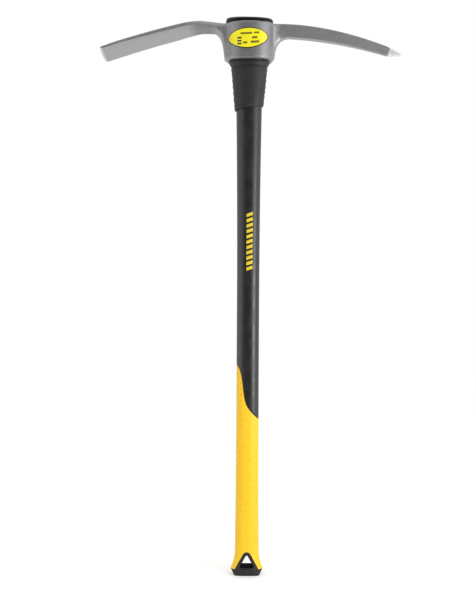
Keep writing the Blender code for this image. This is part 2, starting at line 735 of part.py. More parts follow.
def build_knob(material):
    rings = []
    for z, inset in rounded_rows(0.0, KNOB_RIM_HEIGHT, KNOB_BASE_ROUND)[:3]:
        share = z / KNOB_RIM_HEIGHT
        half_width = between(KNOB_BASE_HALF_WIDTH, KNOB_RIM_HALF_WIDTH, share) - inset
        half_depth = between(KNOB_BASE_HALF_DEPTH, KNOB_RIM_HALF_DEPTH, share) - inset
        rings.append(oval(half_width, half_depth, z, between(KNOB_BASE_SHAPE, SHAFT_SHAPE, share)))
    rings += handle_rings(spread(KNOB_RIM_HEIGHT, FLARE_HEIGHT, 8))
    knob = loft("butt_knob", rings)
    reach = 2.0 * KNOB_RIM_HALF_WIDTH
    right = [(reach, KNOB_RIM_HEIGHT), (reach, -reach)]
    left = [(-reach, -reach), (-reach, KNOB_RIM_HEIGHT)]
    outline = prism("knob_outline", tongue_outline() + right + left, reach)
    boolean(knob, outline, "INTERSECT")
    spigot = core_rings((SPIGOT_BOTTOM, SPIGOT_TOP))
    boolean(knob, as_helper(loft("knob_spigot", spigot)), "UNION")
    boolean(knob, hang_hole(), "DIFFERENCE")
    finish(knob, material)


def hang_hole():
    """A through hole whose mouth widens on both faces."""
    middle = (HOLE_BOTTOM + HOLE_TOP) / 2.0
    face = handle_size(middle)[1]
    throat = face - HOLE_FLARE_DEPTH
    past = 2.0 * HOLE_FLARE_DEPTH
    widening = HOLE_FLARE / HOLE_FLARE_DEPTH
    rings = []
    for y, grow in (
        (-face - past, HOLE_FLARE + widening * past),
        (-throat, 0.0),
        (throat, 0.0),
        (face + past, HOLE_FLARE + widening * past),
    ):
        rings.append([Vector((x, y, z)) for x, z in hole_outline(grow)])
    return as_helper(loft("hang_hole", rings))


# Collar


def build_collar(material):
    """Rings up the outside and down the inside. The hem slants, higher on the +X side."""
    wall = COLLAR_WALL + CLEARANCE
    lip_low = COLLAR_TOP - COLLAR_LIP_HEIGHT
    below_groove = lip_low - COLLAR_GROOVE_WIDTH
    floor = wall - COLLAR_GROOVE
    rows = []
    for share in spread(0.0, 1.0, COLLAR_RINGS):
        z = between(COLLAR_BOTTOM, below_groove, share**2)
        part = (share**2) ** COLLAR_WALL_POWER
        add = between(COLLAR_HEM_WALL, COLLAR_WALL, part) + CLEARANCE
        rows.append((z, add, add))
    rows += [
        (lip_low - 0.6 * COLLAR_GROOVE_WIDTH, floor, floor),
        (lip_low - 0.2 * COLLAR_GROOVE_WIDTH, floor, floor),
        (lip_low, wall + COLLAR_LIP_STEP, wall + COLLAR_LIP_STEP),
        (COLLAR_TOP - COLLAR_LIP_LAND, wall + COLLAR_LIP_END, wall + COLLAR_LIP_SIDE),
        (COLLAR_TOP, wall + COLLAR_LIP_END, wall + COLLAR_LIP_SIDE),
    ]
    outer = []
    for z, add_width, add_depth in rows:
        half_width, half_depth = shaft_size(z)
        outer.append(oval(half_width + add_width, half_depth + add_depth, z, SHAFT_SHAPE))
    inner = []
    for z in spread(COLLAR_BOTTOM, JACKET_TOP, 6) + [COLLAR_TOP]:
        half_width, half_depth = shaft_size(z)
        inner.append(oval(half_width + CLEARANCE, half_depth + CLEARANCE, z, SHAFT_SHAPE))
    for ring in outer + inner:
        for point in ring:
            low = 1.0 - smooth((point.z - COLLAR_BOTTOM) / COLLAR_SLANT_HEIGHT)
            point.z += low * COLLAR_HEM_SLANT * point.x / (2.0 * SHAFT_TOP_HALF_WIDTH)
    finish(tube("head_collar", outer, inner), material)


def main():
    clear_scene()
    steel = make_material("forged_steel", (0.30, 0.30, 0.31), 0.5, 0.8)
    black_plastic = make_material("black_plastic", (0.025, 0.024, 0.023), 0.45)
    black_rubber = make_material("black_rubber", (0.022, 0.021, 0.020), 0.65)
    yellow_rubber = make_material("yellow_rubber", (0.95, 0.55, 0.02), 0.5)
    fibreglass = make_material("fibreglass", (0.55, 0.50, 0.30), 0.35)
    epoxy = make_material("epoxy", (0.50, 0.42, 0.22), 0.3)
    label_film = make_material("label_film", (0.95, 0.75, 0.02), 0.35)
    build_head(steel)
    build_eye_fill(black_plastic, epoxy)
    build_cap(black_plastic)
    build_label(label_film)
    build_jacket(black_plastic)
    build_core(fibreglass)
    build_grip(yellow_rubber)
    build_knob(black_plastic)
    build_collar(black_rubber)


main()
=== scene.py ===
# A pick mattock with a black and yellow handle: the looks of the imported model.
# Metres. The flat butt stands on the origin, the pick points to +X, the adze to -X,
# and the label faces -Y, towards the camera.
import math

import bmesh
import bpy
import numpy as np
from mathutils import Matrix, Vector


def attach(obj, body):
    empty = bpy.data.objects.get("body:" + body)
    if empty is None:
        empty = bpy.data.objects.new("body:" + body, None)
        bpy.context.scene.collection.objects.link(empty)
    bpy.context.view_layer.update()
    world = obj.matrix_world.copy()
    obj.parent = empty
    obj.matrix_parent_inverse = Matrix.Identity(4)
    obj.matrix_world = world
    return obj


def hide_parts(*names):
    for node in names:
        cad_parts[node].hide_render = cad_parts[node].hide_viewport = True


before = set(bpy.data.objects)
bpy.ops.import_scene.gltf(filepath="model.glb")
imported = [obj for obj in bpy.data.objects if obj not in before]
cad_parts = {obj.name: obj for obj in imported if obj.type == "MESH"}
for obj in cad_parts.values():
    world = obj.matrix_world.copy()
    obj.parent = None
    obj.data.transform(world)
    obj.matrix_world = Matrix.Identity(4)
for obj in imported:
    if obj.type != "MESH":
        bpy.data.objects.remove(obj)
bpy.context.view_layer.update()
print("frame loaded:", ", ".join(sorted(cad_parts)))


# Short helpers for numbers


def ease(share):
    share = min(max(share, 0.0), 1.0)
    return share * share * (3.0 - 2.0 * share)


def between(start, stop, share):
    return start + (stop - start) * share


def progress(value, start, stop):
    # How far a value is on its way from start to stop, held between 0 and 1
    return min(max((value - start) / (stop - start), 0.0), 1.0)


def spread(start, stop, count):
    return [start + (stop - start) * i / (count - 1) for i in range(count)]


def fullTurn(count):
    return spread(0.0, 2.0 * math.pi, count + 1)[:-1]


def betweenSizes(first, second, share):
    return tuple(between(a, b, share) for a, b in zip(first, second))


def grown(size, grow):
    return size[0] + grow, size[1] + grow


# Short helpers for objects and nodes


def addObject(name, data):
    made = bpy.data.objects.new(name, data)
    bpy.context.scene.collection.objects.link(made)
    return made


def fromBmesh(name, bm):
    mesh = bpy.data.meshes.new(name)
    bm.to_mesh(mesh)
    bm.free()
    return addObject(name, mesh)


def addNode(tree, kind, values=None, **settings):
    made = tree.nodes.new(kind)
    for key, value in settings.items():
        setattr(made, key, value)
    for key, value in (values or {}).items():
        made.inputs[key].default_value = value
    return made


def join(tree, value, target):
    # Links an output to an input, or types a number or a colour into it
    if isinstance(value, (int, float)):
        target.default_value = value
    elif isinstance(value, tuple):
        target.default_value = (*value, 1.0)
    else:
        tree.links.new(value, target)


def maths(tree, operation, *values, clamp=False):
    made = addNode(tree, "ShaderNodeMath", operation=operation, use_clamp=clamp)
    for value, target in zip(values, made.inputs):
        join(tree, value, target)
    return made.outputs[0]


def vectorMaths(tree, operation, *values):
    made = addNode(tree, "ShaderNodeVectorMath", operation=operation)
    for value, target in zip(values, made.inputs):
        join(tree, value, target)
    return made.outputs


def blendColours(tree, share, first, second, mode="MIX"):
    made = addNode(tree, "ShaderNodeMix", data_type="RGBA", blend_type=mode)
    for place, value in ((0, share), (6, first), (7, second)):
        join(tree, value, made.inputs[place])
    return made.outputs[2]


def addLayers(tree, colour, *layers):
    # Lays colours over one another, each as much as its share says
    for share, over in layers:
        colour = blendColours(tree, share, colour, over)
    return colour


def remap(tree, value, fromLow, fromHigh, toLow, toHigh):
    values = {1: fromLow, 2: fromHigh, 3: toLow, 4: toHigh}
    made = addNode(tree, "ShaderNodeMapRange", values, interpolation_type="SMOOTHSTEP")
    join(tree, value, made.inputs[0])
    return made.outputs[0]


def objectPlace(tree):
    return addNode(tree, "ShaderNodeTexCoord").outputs["Object"]


def newMaterial(name, kind="ShaderNodeBsdfPrincipled", values=None):
    # A material with one shader on its surface
    material = bpy.data.materials.new(name)
    material.use_nodes = True
    tree = material.node_tree
    tree.nodes.clear()
    output = addNode(tree, "ShaderNodeOutputMaterial")
    shader = addNode(tree, kind, values)
    join(tree, shader.outputs[0], output.inputs["Surface"])
    return material, tree, shader


def addBump(tree, shader, height, strength, distance):
    bump = addNode(tree, "ShaderNodeBump", {"Strength": strength, "Distance": distance})
    join(tree, height, bump.inputs["Height"])
    join(tree, bump.outputs[0], shader.inputs["Normal"])


# Camera: level, a little rolled, at the middle height of the tool
cameraSetup = {
    "place": (0.0033, -1.398, 0.437),
    "roll": -0.0054,
    "focalPixels": 847.3,
    "imageHeight": 599,  # pixels, and so are the shifts
    "shiftRight": -12.0,
    "shiftUp": 9.5,
    "sensor": 36.0,
}


def addCamera(setup):
    data = bpy.data.cameras.new("camera")
    data.sensor_width = setup["sensor"]
    data.lens = setup["sensor"] * setup["focalPixels"] / setup["imageHeight"]
    data.shift_x = setup["shiftRight"] / setup["imageHeight"]
    data.shift_y = setup["shiftUp"] / setup["imageHeight"]
    camera = addObject("camera", data)
    camera.location = setup["place"]
    camera.rotation_euler = (math.radians(90.0), setup["roll"], 0.0)
    bpy.context.scene.camera = camera


addCamera(cameraSetup)
bpy.context.scene.view_settings.view_transform = "Standard"
print("camera placed")


# Studio: white surroundings, dark cards that only reflections see, and three soft lights
studio = {
    "ambient": 0.85,  # what the white surroundings give to matt surfaces
    "floorSize": 8.0,
    "floorColour": (0.8, 0.8, 0.8),
    "floorGlow": 0.32,
    "cardColour": (0.03, 0.03, 0.03),
    "cards": {
        # middle, width, height or depth, and whether it lies on the floor
        "standingCard": ((0.0, -1.75, 1.1), 2.5, 3.4, False),
        "lyingCard": ((0.0, -1.1, 0.002), 2.5, 1.3, True),
    },
    "lights": {
        # angle, distance, width, height, middle height, power
        "rightStrip": (48.0, 1.7, 0.4, 1.1, 0.28, 16.5),
        "rightSoft": (52.0, 2.0, 0.8, 0.9, 1.6, 2.0),
        "leftSoft": (-75.0, 2.0, 0.9, 0.8, 0.22, 2.8),
    },
}


def aroundTool(angle, distance, height):
    turn = math.radians(angle)
    return Vector((distance * math.sin(turn), -distance * math.cos(turn), height))


def seenRays(tree):
    path = addNode(tree, "ShaderNodeLightPath")
    seen = maths(tree, "MAXIMUM", path.outputs["Is Camera Ray"], path.outputs["Is Glossy Ray"])
    return maths(tree, "MAXIMUM", seen, path.outputs["Is Transmission Ray"])


def flatPlane(name, width, height, material):
    bm = bmesh.new()
    corners = ((-1, -1), (1, -1), (1, 1), (-1, 1))
    bm.faces.new([bm.verts.new((x * width / 2, y * height / 2, 0.0)) for x, y in corners])
    made = fromBmesh(name, bm)
    made.data.materials.append(material)
    return made


def addWorld():
    world = bpy.data.worlds.new("studioWorld")
    bpy.context.scene.world = world
    world.use_nodes = True
    tree = world.node_tree
    background = tree.nodes["Background"]
    background.inputs["Color"].default_value = (1.0, 1.0, 1.0, 1.0)
    strength = maths(tree, "MAXIMUM", seenRays(tree), studio["ambient"])
    join(tree, strength, background.inputs["Strength"])


def addFloor():
    material, tree, both = newMaterial("paleFloor", "ShaderNodeAddShader")
    matt = addNode(tree, "ShaderNodeBsdfDiffuse", {"Color": (*studio["floorColour"], 1.0)})
    glow = addNode(tree, "ShaderNodeEmission")
    join(tree, maths(tree, "MULTIPLY", seenRays(tree), studio["floorGlow"]), glow.inputs["Strength"])
    join(tree, matt.outputs[0], both.inputs[0])
    join(tree, glow.outputs[0], both.inputs[1])
    flatPlane("floor", studio["floorSize"], studio["floorSize"], material)


def addCards():
    values = {"Color": (*studio["cardColour"], 1.0), "Strength": 1.0}
    material = newMaterial("darkCard", "ShaderNodeEmission", values)[0]
    for name, (middle, width, height, lying) in studio["cards"].items():
        card = flatPlane(name, width, height, material)
        card.location = middle
        card.rotation_euler.x = 0.0 if lying else math.radians(90.0)
        card.visible_camera = False
        card.visible_diffuse = False
        card.visible_shadow = False


def addLights():
    for name, values in studio["lights"].items():
        angle, distance, width, height, middle, power = values
        data = bpy.data.lights.new(name, "AREA")
        data.shape = "RECTANGLE"
        data.size = width
        data.size_y = height
        data.energy = power
        light = addObject(name, data)
        light.location = aroundTool(angle, distance, middle)
        light.rotation_euler = (math.radians(90.0), 0.0, math.radians(angle))
        light.visible_camera = False


addWorld()
addFloor()
addCards()
addLights()
print("studio lit")


# Shared effects, as node groups. Places are in metres on the object itself.


def newGroup(name, entries, exits):
    tree = bpy.data.node_groups.new(name, "ShaderNodeTree")
    for entry, value in entries.items():
        kind = "NodeSocketVector" if isinstance(value, tuple) else "NodeSocketFloat"
        socket = tree.interface.new_socket(entry, in_out="INPUT", socket_type=kind)
        socket.default_value = value
    for leaving in exits:
        tree.interface.new_socket(leaving, in_out="OUTPUT", socket_type="NodeSocketFloat")
    start = addNode(tree, "NodeGroupInput")
    end = addNode(tree, "NodeGroupOutput")
    return tree, start.outputs, end.inputs


def useGroup(tree, group, **values):
    made = addNode(tree, "ShaderNodeGroup", node_tree=group)
    for key, value in values.items():
        made.inputs[key].default_value = value
    return made.outputs


def makeGrain():
    # Small pebbled grain, and a slower mottle over it
    tree, start, end = newGroup("surfaceGrain", {"scale": 900.0, "mottle": 120.0}, ("height", "patches"))
    place = objectPlace(tree)
    pebbles = addNode(tree, "ShaderNodeTexVoronoi", feature="SMOOTH_F1")
    noise = addNode(tree, "ShaderNodeTexNoise", {"Detail": 4.0, "Roughness": 0.65})
    slow = addNode(tree, "ShaderNodeTexNoise", {"Detail": 2.0})
    for made, entry in ((pebbles, "scale"), (noise, "scale"), (slow, "mottle")):
        join(tree, place, made.inputs["Vector"])
        join(tree, start[entry], made.inputs["Scale"])
    rough = maths(tree, "MULTIPLY", pebbles.outputs["Distance"], noise.outputs["Fac"])
    join(tree, maths(tree, "ADD", rough, noise.outputs["Fac"]), end["height"])
    join(tree, remap(tree, slow.outputs["Fac"], 0.32, 0.68, 0.0, 1.0), end["patches"])
    return tree


def makeScratches():
    # Fine lines, drawn out along one axis by giving that axis a small stretch
    tree, start, end = newGroup("fineScratches", {"stretch": (1.0, 1.0, 1.0), "scale": 900.0}, ("lines",))
    noise = addNode(tree, "ShaderNodeTexNoise", {"Detail": 3.0, "Roughness": 0.7})
    stretched = vectorMaths(tree, "MULTIPLY", objectPlace(tree), start["stretch"])[0]
    join(tree, stretched, noise.inputs["Vector"])
    join(tree, start["scale"], noise.inputs["Scale"])
    join(tree, noise.outputs["Fac"], end["lines"])
    return tree


def makeEdges():
    # Raised edges, where handling polishes, and hollows, which the materials darken as painted shade
    tree, start, end = newGroup("edgesAndHollows", {"spread": 0.06}, ("edges", "hollows"))
    point = addNode(tree, "ShaderNodeNewGeometry").outputs["Pointiness"]
    above = maths(tree, "SUBTRACT", point, 0.5)
    below = maths(tree, "MULTIPLY", above, -1.0)
    join(tree, maths(tree, "DIVIDE", above, start["spread"], clamp=True), end["edges"])
    join(tree, maths(tree, "DIVIDE", below, start["spread"], clamp=True), end["hollows"])
    return tree


def makePlane():
    # One where the place measured along a direction lies past a value, with a soft border
    entries = {"direction": (1.0, 0.0, 0.0), "past": 0.0, "border": 0.0004}
    tree, start, end = newGroup("pastPlane", entries, ("mask",))
    along = vectorMaths(tree, "DOT_PRODUCT", objectPlace(tree), start["direction"])["Value"]
    beyond = maths(tree, "SUBTRACT", along, start["past"])
    join(tree, maths(tree, "DIVIDE", beyond, start["border"], clamp=True), end["mask"])
    return tree


def makeBox():
    # One inside a box round a middle, fading to nothing at its sides over the border
    entries = {"middle": (0.0, 0.0, 0.0), "halfSize": (0.01, 0.01, 0.01), "border": 0.001}
    tree, start, end = newGroup("withinBox", entries, ("mask",))
    away = vectorMaths(tree, "SUBTRACT", objectPlace(tree), start["middle"])[0]
    away = vectorMaths(tree, "ABSOLUTE", away)[0]
    left = vectorMaths(tree, "SUBTRACT", start["halfSize"], away)[0]
    parts = addNode(tree, "ShaderNodeSeparateXYZ")
    join(tree, left, parts.inputs[0])
    least = maths(tree, "MINIMUM", parts.outputs[0], parts.outputs[1])
    least = maths(tree, "MINIMUM", least, parts.outputs[2])
    join(tree, maths(tree, "DIVIDE", least, start["border"], clamp=True), end["mask"])
    return tree


grain = makeGrain()
scratches = makeScratches()
edgesAndHollows = makeEdges()
pastPlane = makePlane()
withinBox = makeBox()
print("shared effects built")


# Short helpers for meshes


def ovalPoint(halfWidth, halfDepth, z, shape, angle):
    c, s = math.cos(angle), math.sin(angle)
    x = halfWidth * math.copysign(abs(c) ** (2.0 / shape), c)
    y = halfDepth * math.copysign(abs(s) ** (2.0 / shape), s)
    return Vector((x, y, z))


def ovalRing(halfWidth, halfDepth, z, shape, count=96):
    return [ovalPoint(halfWidth, halfDepth, z, shape, turn) for turn in fullTurn(count)]


def loft(name, rings, loop=False, fans=True):
    # A skin over a row of rings, joined in a loop, or closed at both ends by fans or flat faces
    bm = bmesh.new()
    rows = [[bm.verts.new(point) for point in ring] for ring in rings]
    pairs = list(zip(rows, rows[1:]))
    if loop:
        pairs.append((rows[-1], rows[0]))
    else:
        ends = [bm.faces.new(rows[0]), bm.faces.new(rows[-1])]
        if fans:
            bmesh.ops.poke(bm, faces=ends)
    for first, second in pairs:
        for i in range(len(first)):
            j = (i + 1) % len(first)
            bm.faces.new((first[i], first[j], second[j], second[i]))
    bmesh.ops.recalc_face_normals(bm, faces=bm.faces)
    return fromBmesh(name, bm)


def prism(name, outline, halfDepth):
    rings = [[Vector((x, y, z)) for x, z in outline] for y in (-halfDepth, halfDepth)]
    return loft(name, rings, fans=False)


def addModifier(made, kind, **settings):
    modifier = made.modifiers.new(kind.lower(), kind)
    for key, value in settings.items():
        setattr(modifier, key, value)


def applyModifiers(made):
    graph = bpy.context.evaluated_depsgraph_get()
    mesh = bpy.data.meshes.new_from_object(made.evaluated_get(graph))
    old = made.data
    made.modifiers.clear()
    made.data = mesh
    mesh.name = made.name
    bpy.data.meshes.remove(old)


def carve(made, operation, *others):
    for other in others:
        addModifier(made, "BOOLEAN", operation=operation, solver="EXACT", object=other)
    applyModifiers(made)
    for other in others:
        bpy.data.objects.remove(other)


def evenSkin(made, voxel, times):
    # Small even faces in place of the present ones, relaxed a few times
    addModifier(made, "REMESH", mode="VOXEL", voxel_size=voxel)
    addModifier(made, "SMOOTH", factor=0.5, iterations=times)
    applyModifiers(made)


def fillHollows(made, times, weightAt, outShare=0.5, inShare=0.06):
    # Grows fillets: moves the hollow creases outwards, as much as weightAt(point) says
    mesh = made.data
    count = len(mesh.vertices)
    places = np.empty(count * 3)
    mesh.vertices.foreach_get("co", places)
    places = places.reshape(count, 3)
    edges = np.empty(len(mesh.edges) * 2, dtype=np.int64)
    mesh.edges.foreach_get("vertices", edges)
    first, second = edges.reshape(-1, 2).T
    weights = np.array([weightAt(vertex.co) for vertex in mesh.vertices])
    used = (weights[first] > 0.0) | (weights[second] > 0.0)
    first, second = first[used], second[used]
    neighbours = np.bincount(first, minlength=count) + np.bincount(second, minlength=count)
    neighbours = np.maximum(neighbours, 1)
    for _ in range(times):
        sums = np.empty_like(places)
        for axis in range(3):
            sums[:, axis] = np.bincount(first, places[second, axis], count)
            sums[:, axis] += np.bincount(second, places[first, axis], count)
        step = sums / neighbours[:, None] - places
        step[weights <= 0.0] = 0.0
        mesh.vertices.foreach_set("co", places.ravel())
        mesh.update()
        normals = np.empty(count * 3)
        mesh.vertex_normals.foreach_get("vector", normals)
        outwards = np.einsum("ij,ij->i", step, normals.reshape(count, 3))
        share = np.where(outwards > 0.0, outShare, inShare) * weights
        places = places + step * share[:, None]
    mesh.vertices.foreach_set("co", places.ravel())
    mesh.update()


def finishPiece(made, material, slotName, *nodes, sharpAngle=40.0):
    made.data.materials.clear()
    made.data.materials.append(material)
    made.data.shade_smooth()
    made.data.set_sharp_from_angle(angle=math.radians(sharpAngle))
    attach(made, "root")
    if nodes:
        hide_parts(*nodes)


def wrapPatch(name, columns, surface, thickness, rows=6):
    # A thin plate on a curved face: columns are (x, low, high), and surface gives the place
    bm = bmesh.new()
    grid = []
    for x, low, high in columns:
        grid.append([bm.verts.new(surface(x, z)) for z in spread(low, high, rows)])
    for first, second in zip(grid, grid[1:]):
        for i in range(rows - 1):
            bm.faces.new((first[i], second[i], second[i + 1], first[i + 1]))
    made = fromBmesh(name, bm)
    addModifier(made, "SOLIDIFY", thickness=thickness, offset=1.0)
    applyModifiers(made)
    return made


# Gaps between bonded and moulded pieces, the bond, and how far cutters run past
fits = {
    "roundMiddle": 0.3,  # how far in a rounded edge lies at its middle, as a share of its radius
    "gap": 0.0003,
    "bond": 0.0012,
    "cutPast": 0.002,
    "cutReach": 0.05,
}


# Forged head: the eye, the adze, the pick and the webs below them, fused into one skin
head = {
    "eyeTop": 0.9035,
    "eyeBottom": 0.8432,
    "eyeHalfLength": 0.0392,
    "eyeHalfDepth": 0.031,
    "eyeShape": 2.4,
    "rimRound": 0.0026,
    "footRound": 0.0048,
    "footHeight": 0.0034,
    "footLift": 0.0016,
    "liftFrom": 0.02,
    "pickLift": 0.0027,
    "adzeLift": 0.001,
    "endWall": 0.0065,
    "sideWall": 0.007,
    "boreEndTaper": 0.005,
    "boreSideTaper": 0.006,
    "buried": 0.006,
    "dip": 0.0005,
    "boreShape": 2.15,
    "footFlat": 0.018,
    "footTurn": 0.016,
    "voxel": 0.0008,
    "relaxed": 2,
}

# Fillets at the roots of the arms: how long they grow, and where
fillets = {
    "steps": 110,
    "insideEnd": 0.01,
    "border": 0.006,
    "fadeFrom": 0.058,
    "fade": 0.03,
    "aboveFoot": 0.004,
}

adze = {
    "reach": 0.2436,
    "width": 0.0766,
    "shoulderAt": 0.105,
    "shoulderWidth": 0.06,
    "neckAt": 0.05,
    "neckWidth": 0.035,
    "flarePower": 1.35,
    "neckThickness": 0.0116,
    "neckFlank": 0.0094,
    "neckTopWidth": 0.03,
    "bellyWidth": 0.027,
    "bellyFade": 0.045,
    "widthInBelly": 0.8,
    "bellyDrop": 0.0036,
    "wingHeight": 0.0065,
    "endThickness": 0.0042,
    "thinningPower": 1.5,
    "humpAt": 0.078,
    "hump": 0.0028,
    "shoulderPower": 1.6,
    "droop": 0.0493,
    "droopPower": 1.18,
    "crown": 0.001,
    "bevelLength": 0.005,
    "edgeLand": 0.0016,
    "edgeBow": 0.0015,
    "edgeSkew": 0.05,
    "bowFrom": 0.75,
    "neckRound": 0.003,
    "edgeRound": 0.001,
    "bellyRound": 0.004,
    "crestRound": 0.02,
    # Rings: up to where, and how many
    "neckRings": (0.12, 34),
    "bladeRings": (0.122, 0.232, 40),
}

pick = {
    "reach": 0.25,
    "pointLength": 0.022,
    "height": 0.0221,
    "endHeight": 0.0154,
    "thinningPower": 1.9,
    "width": 0.0136,
    "endWidth": 0.0072,
    "narrowingPower": 2.2,
    "hump": 0.0027,
    "droop": 0.036,
    "droopPower": 1.85,
    "bendAt": 0.048,
    "pointDrop": 0.0114,
    "tipSize": 0.0032,
    "corner": 0.0016,
    "tipCorner": 0.0006,
    "rootAt": 0.0385,
    "rootEnd": 0.0509,
    "rootFlare": 0.0024,
    "rootRings": (0.06, 12),
    "armRings": (0.0625, 60),
    "tipRings": (0.002, 8),
}

webs = {
    # side, reach, thickness at the eye and at the arm
    "adzeWeb": (-1.0, 0.064, 0.034, 0.03),
    "pickWeb": (1.0, 0.074, 0.0136, 0.0128),
    "proud": 0.0018,
    "bite": 0.0004,
    "sunk": 0.006,
    "foot": 0.005,
    "corner": 0.004,
    "rows": 24,
    "lean": 0.0026,
    "rise": 0.46,
    "turn": 0.17,
}


def softOutline(corners, steps=4, most=0.48):
    # A closed outline of (y, z, radius) corners, each rounded off over about its radius,
    # and over no more than the given share of the sides that meet there
    points = []
    for i, (y, z, radius) in enumerate(corners):
        here = Vector((y, z))
        before = Vector(corners[i - 1][:2]) - here
        after = Vector(corners[(i + 1) % len(corners)][:2]) - here
        start = here + before * min(radius / max(before.length, 1e-6), most)
        stop = here + after * min(radius / max(after.length, 1e-6), most)
        for t in spread(0.0, 1.0, steps + 1):
            points.append(start * (1 - t) ** 2 + here * 2 * t * (1 - t) + stop * t * t)
    return points


def adzeTop(d):
    crest = head["eyeTop"] + adze["hump"]
    if d <= adze["humpAt"]:
        inwards = (adze["humpAt"] - d) / (adze["humpAt"] - head["eyeHalfLength"])
        share = ease(inwards ** adze["shoulderPower"])
        return crest - (adze["hump"] - head["adzeLift"] + head["dip"]) * share
    out = (d - adze["humpAt"]) / (adze["reach"] - adze["humpAt"])
    return crest - adze["droop"] * out ** adze["droopPower"]


def adzeSection(d):
    toBlade = progress(d, adze["neckAt"], adze["shoulderAt"])
    out = progress(d, adze["shoulderAt"], adze["reach"])
    flare = 1.0 - (1.0 - toBlade) ** adze["flarePower"]
    half = between(adze["neckWidth"], adze["shoulderWidth"], flare) / 2.0
    half = between(half, adze["width"] / 2.0, out)
    turn = ease(toBlade)
    high = adzeTop(d)
    wing = between(adze["wingHeight"], adze["endThickness"], out ** adze["thinningPower"])
    topHalf = between(adze["neckTopWidth"] / 2.0, half, turn)
    edgeHigh = high - adze["crown"] * turn * (1.0 - out)
    side = between(high - adze["neckFlank"], edgeHigh - wing, turn)
    fade = ease((d - adze["shoulderAt"] + adze["bellyFade"] / 2.0) / adze["bellyFade"])
    bellyHalf = between(adze["bellyWidth"] / 2.0, half * adze["widthInBelly"], fade)
    belly = between(high - adze["neckThickness"], side - adze["bellyDrop"] * (1.0 - out), turn)
    return (0.0, high), (topHalf, edgeHigh), (half, side), (bellyHalf, belly), turn, out


def adzeRing(d, cut=False):
    crest, top, side, belly, turn, out = adzeSection(d)
    if cut:
        side = (side[0], top[1] - adze["edgeLand"])
        belly = (belly[0], top[1] - adze["edgeLand"])
    radius = between(adze["neckRound"], adze["edgeRound"], turn)
    wide = adze["crestRound"]
    right = [(*top, radius), (*side, radius), (*belly, between(radius, adze["bellyRound"], turn))]
    corners = [(*crest, wide)] + right + [(0.0, belly[1], wide)]
    corners += [(-y, z, r) for y, z, r in right[::-1]]
    share = ease((out - adze["bowFrom"]) / (1.0 - adze["bowFrom"]))
    ring = []
    for y, z in softOutline(corners):
        shift = adze["edgeBow"] * (2.0 * y / adze["width"]) ** 2 - adze["edgeSkew"] * y
        ring.append(Vector((-d + share * shift, y, z)))
    return ring


pickShoulder = pick["reach"] - pick["pointLength"]


def pickTop(d):
    start = head["eyeTop"] + pick["hump"]
    if d <= pick["bendAt"]:
        inwards = (pick["bendAt"] - d) / (pick["bendAt"] - head["eyeHalfLength"])
        return start - (pick["hump"] - head["pickLift"] + head["dip"]) * ease(inwards)
    out = progress(d, pickShoulder, pick["reach"])
    return start - pick["droop"] * pickShare(d) ** pick["droopPower"] - pick["pointDrop"] * out


def pickShare(d):
    return progress(d, pick["bendAt"], pickShoulder)


def pickHeight(d):
    return between(pick["height"], pick["endHeight"], pickShare(d) ** pick["thinningPower"])


def pickHalf(d):
    half = between(pick["width"], pick["endWidth"], pickShare(d) ** pick["narrowingPower"]) / 2.0
    return half + pick["rootFlare"] * ease(progress(d, pick["rootEnd"], pick["rootAt"]))


def pickRing(d):
    out = progress(d, pickShoulder, pick["reach"])
    high = pickTop(d)
    half = between(pickHalf(d), pick["tipSize"] / 2.0, out)
    low = high - between(pickHeight(d), pick["tipSize"], out)
    corner = between(pick["corner"], pick["tipCorner"], out)
    corners = [(half, high, corner), (half, low, corner), (-half, low, corner), (-half, high, corner)]
    return [Vector((d, y, z)) for y, z in softOutline(corners)]


def webPlate(name, under):
    side, reach, thickness, endThickness = webs[name]
    foot = head["eyeHalfLength"] + webs["proud"]
    bottom, height = head["eyeBottom"], head["eyeTop"] - head["eyeBottom"]
    low, top = under + webs["bite"], under + webs["sunk"]
    guides = (
        Vector((foot, bottom + webs["foot"])),
        Vector((foot + webs["lean"], bottom + webs["rise"] * height)),
        Vector((foot + webs["turn"] * (reach - foot), low)),
        Vector((reach, low)),
    )
    inner = side * (head["eyeHalfLength"] - head["buried"])
    half, corner = thickness / 2.0, webs["corner"]
    bend = fits["roundMiddle"] * corner
    steps = ((0.0, corner), (bend, bend), (corner, 0.0))
    rows = [(-half + step, inset) for step, inset in steps]
    rows += [(half - step, inset) for step, inset in steps[::-1]]
    rings = []
    for y, inset in rows:
        outline = []
        for t in spread(0.0, 1.0, webs["rows"]):
            weights = ((1 - t) ** 3, 3 * t * (1 - t) ** 2, 3 * t * t * (1 - t), t**3)
            place = sum((w * g for w, g in zip(weights, guides)), Vector((0.0, 0.0)))
            outline.append((side * (place.x - inset), place.y + inset))
        outline += [(outline[-1][0], top), (inner, top), (inner, outline[0][1])]
        ring = []
        for x, z in outline:
            out = ease((abs(x) - foot) / (reach - foot))
            slim = between(1.0, endThickness / thickness, out)
            if side > 0.0:
                slim *= pickHalf(max(abs(x), foot)) / (pick["width"] / 2.0)
            ring.append(Vector((x, y * slim, z)))
        rings.append(ring)
    return loft(name, rings, fans=False)


def boreSize(z):
    down = (head["eyeTop"] - z) / (head["eyeTop"] - head["eyeBottom"])
    return (
        head["eyeHalfLength"] - head["endWall"] - head["boreEndTaper"] * down,
        head["eyeHalfDepth"] - head["sideWall"] - head["boreSideTaper"] * down,
    )


def blockSize(z):
    return grown(boreSize(z), -2.0 * fits["gap"] - fits["bond"])


def roundedRows(radius, count=6):
    # Rows up a rounded lower edge: how high, and how far in from the side
    angles = spread(0.0, math.pi / 2.0, count)
    return [(radius * (1.0 - math.cos(a)), radius * (1.0 - math.sin(a))) for a in angles]


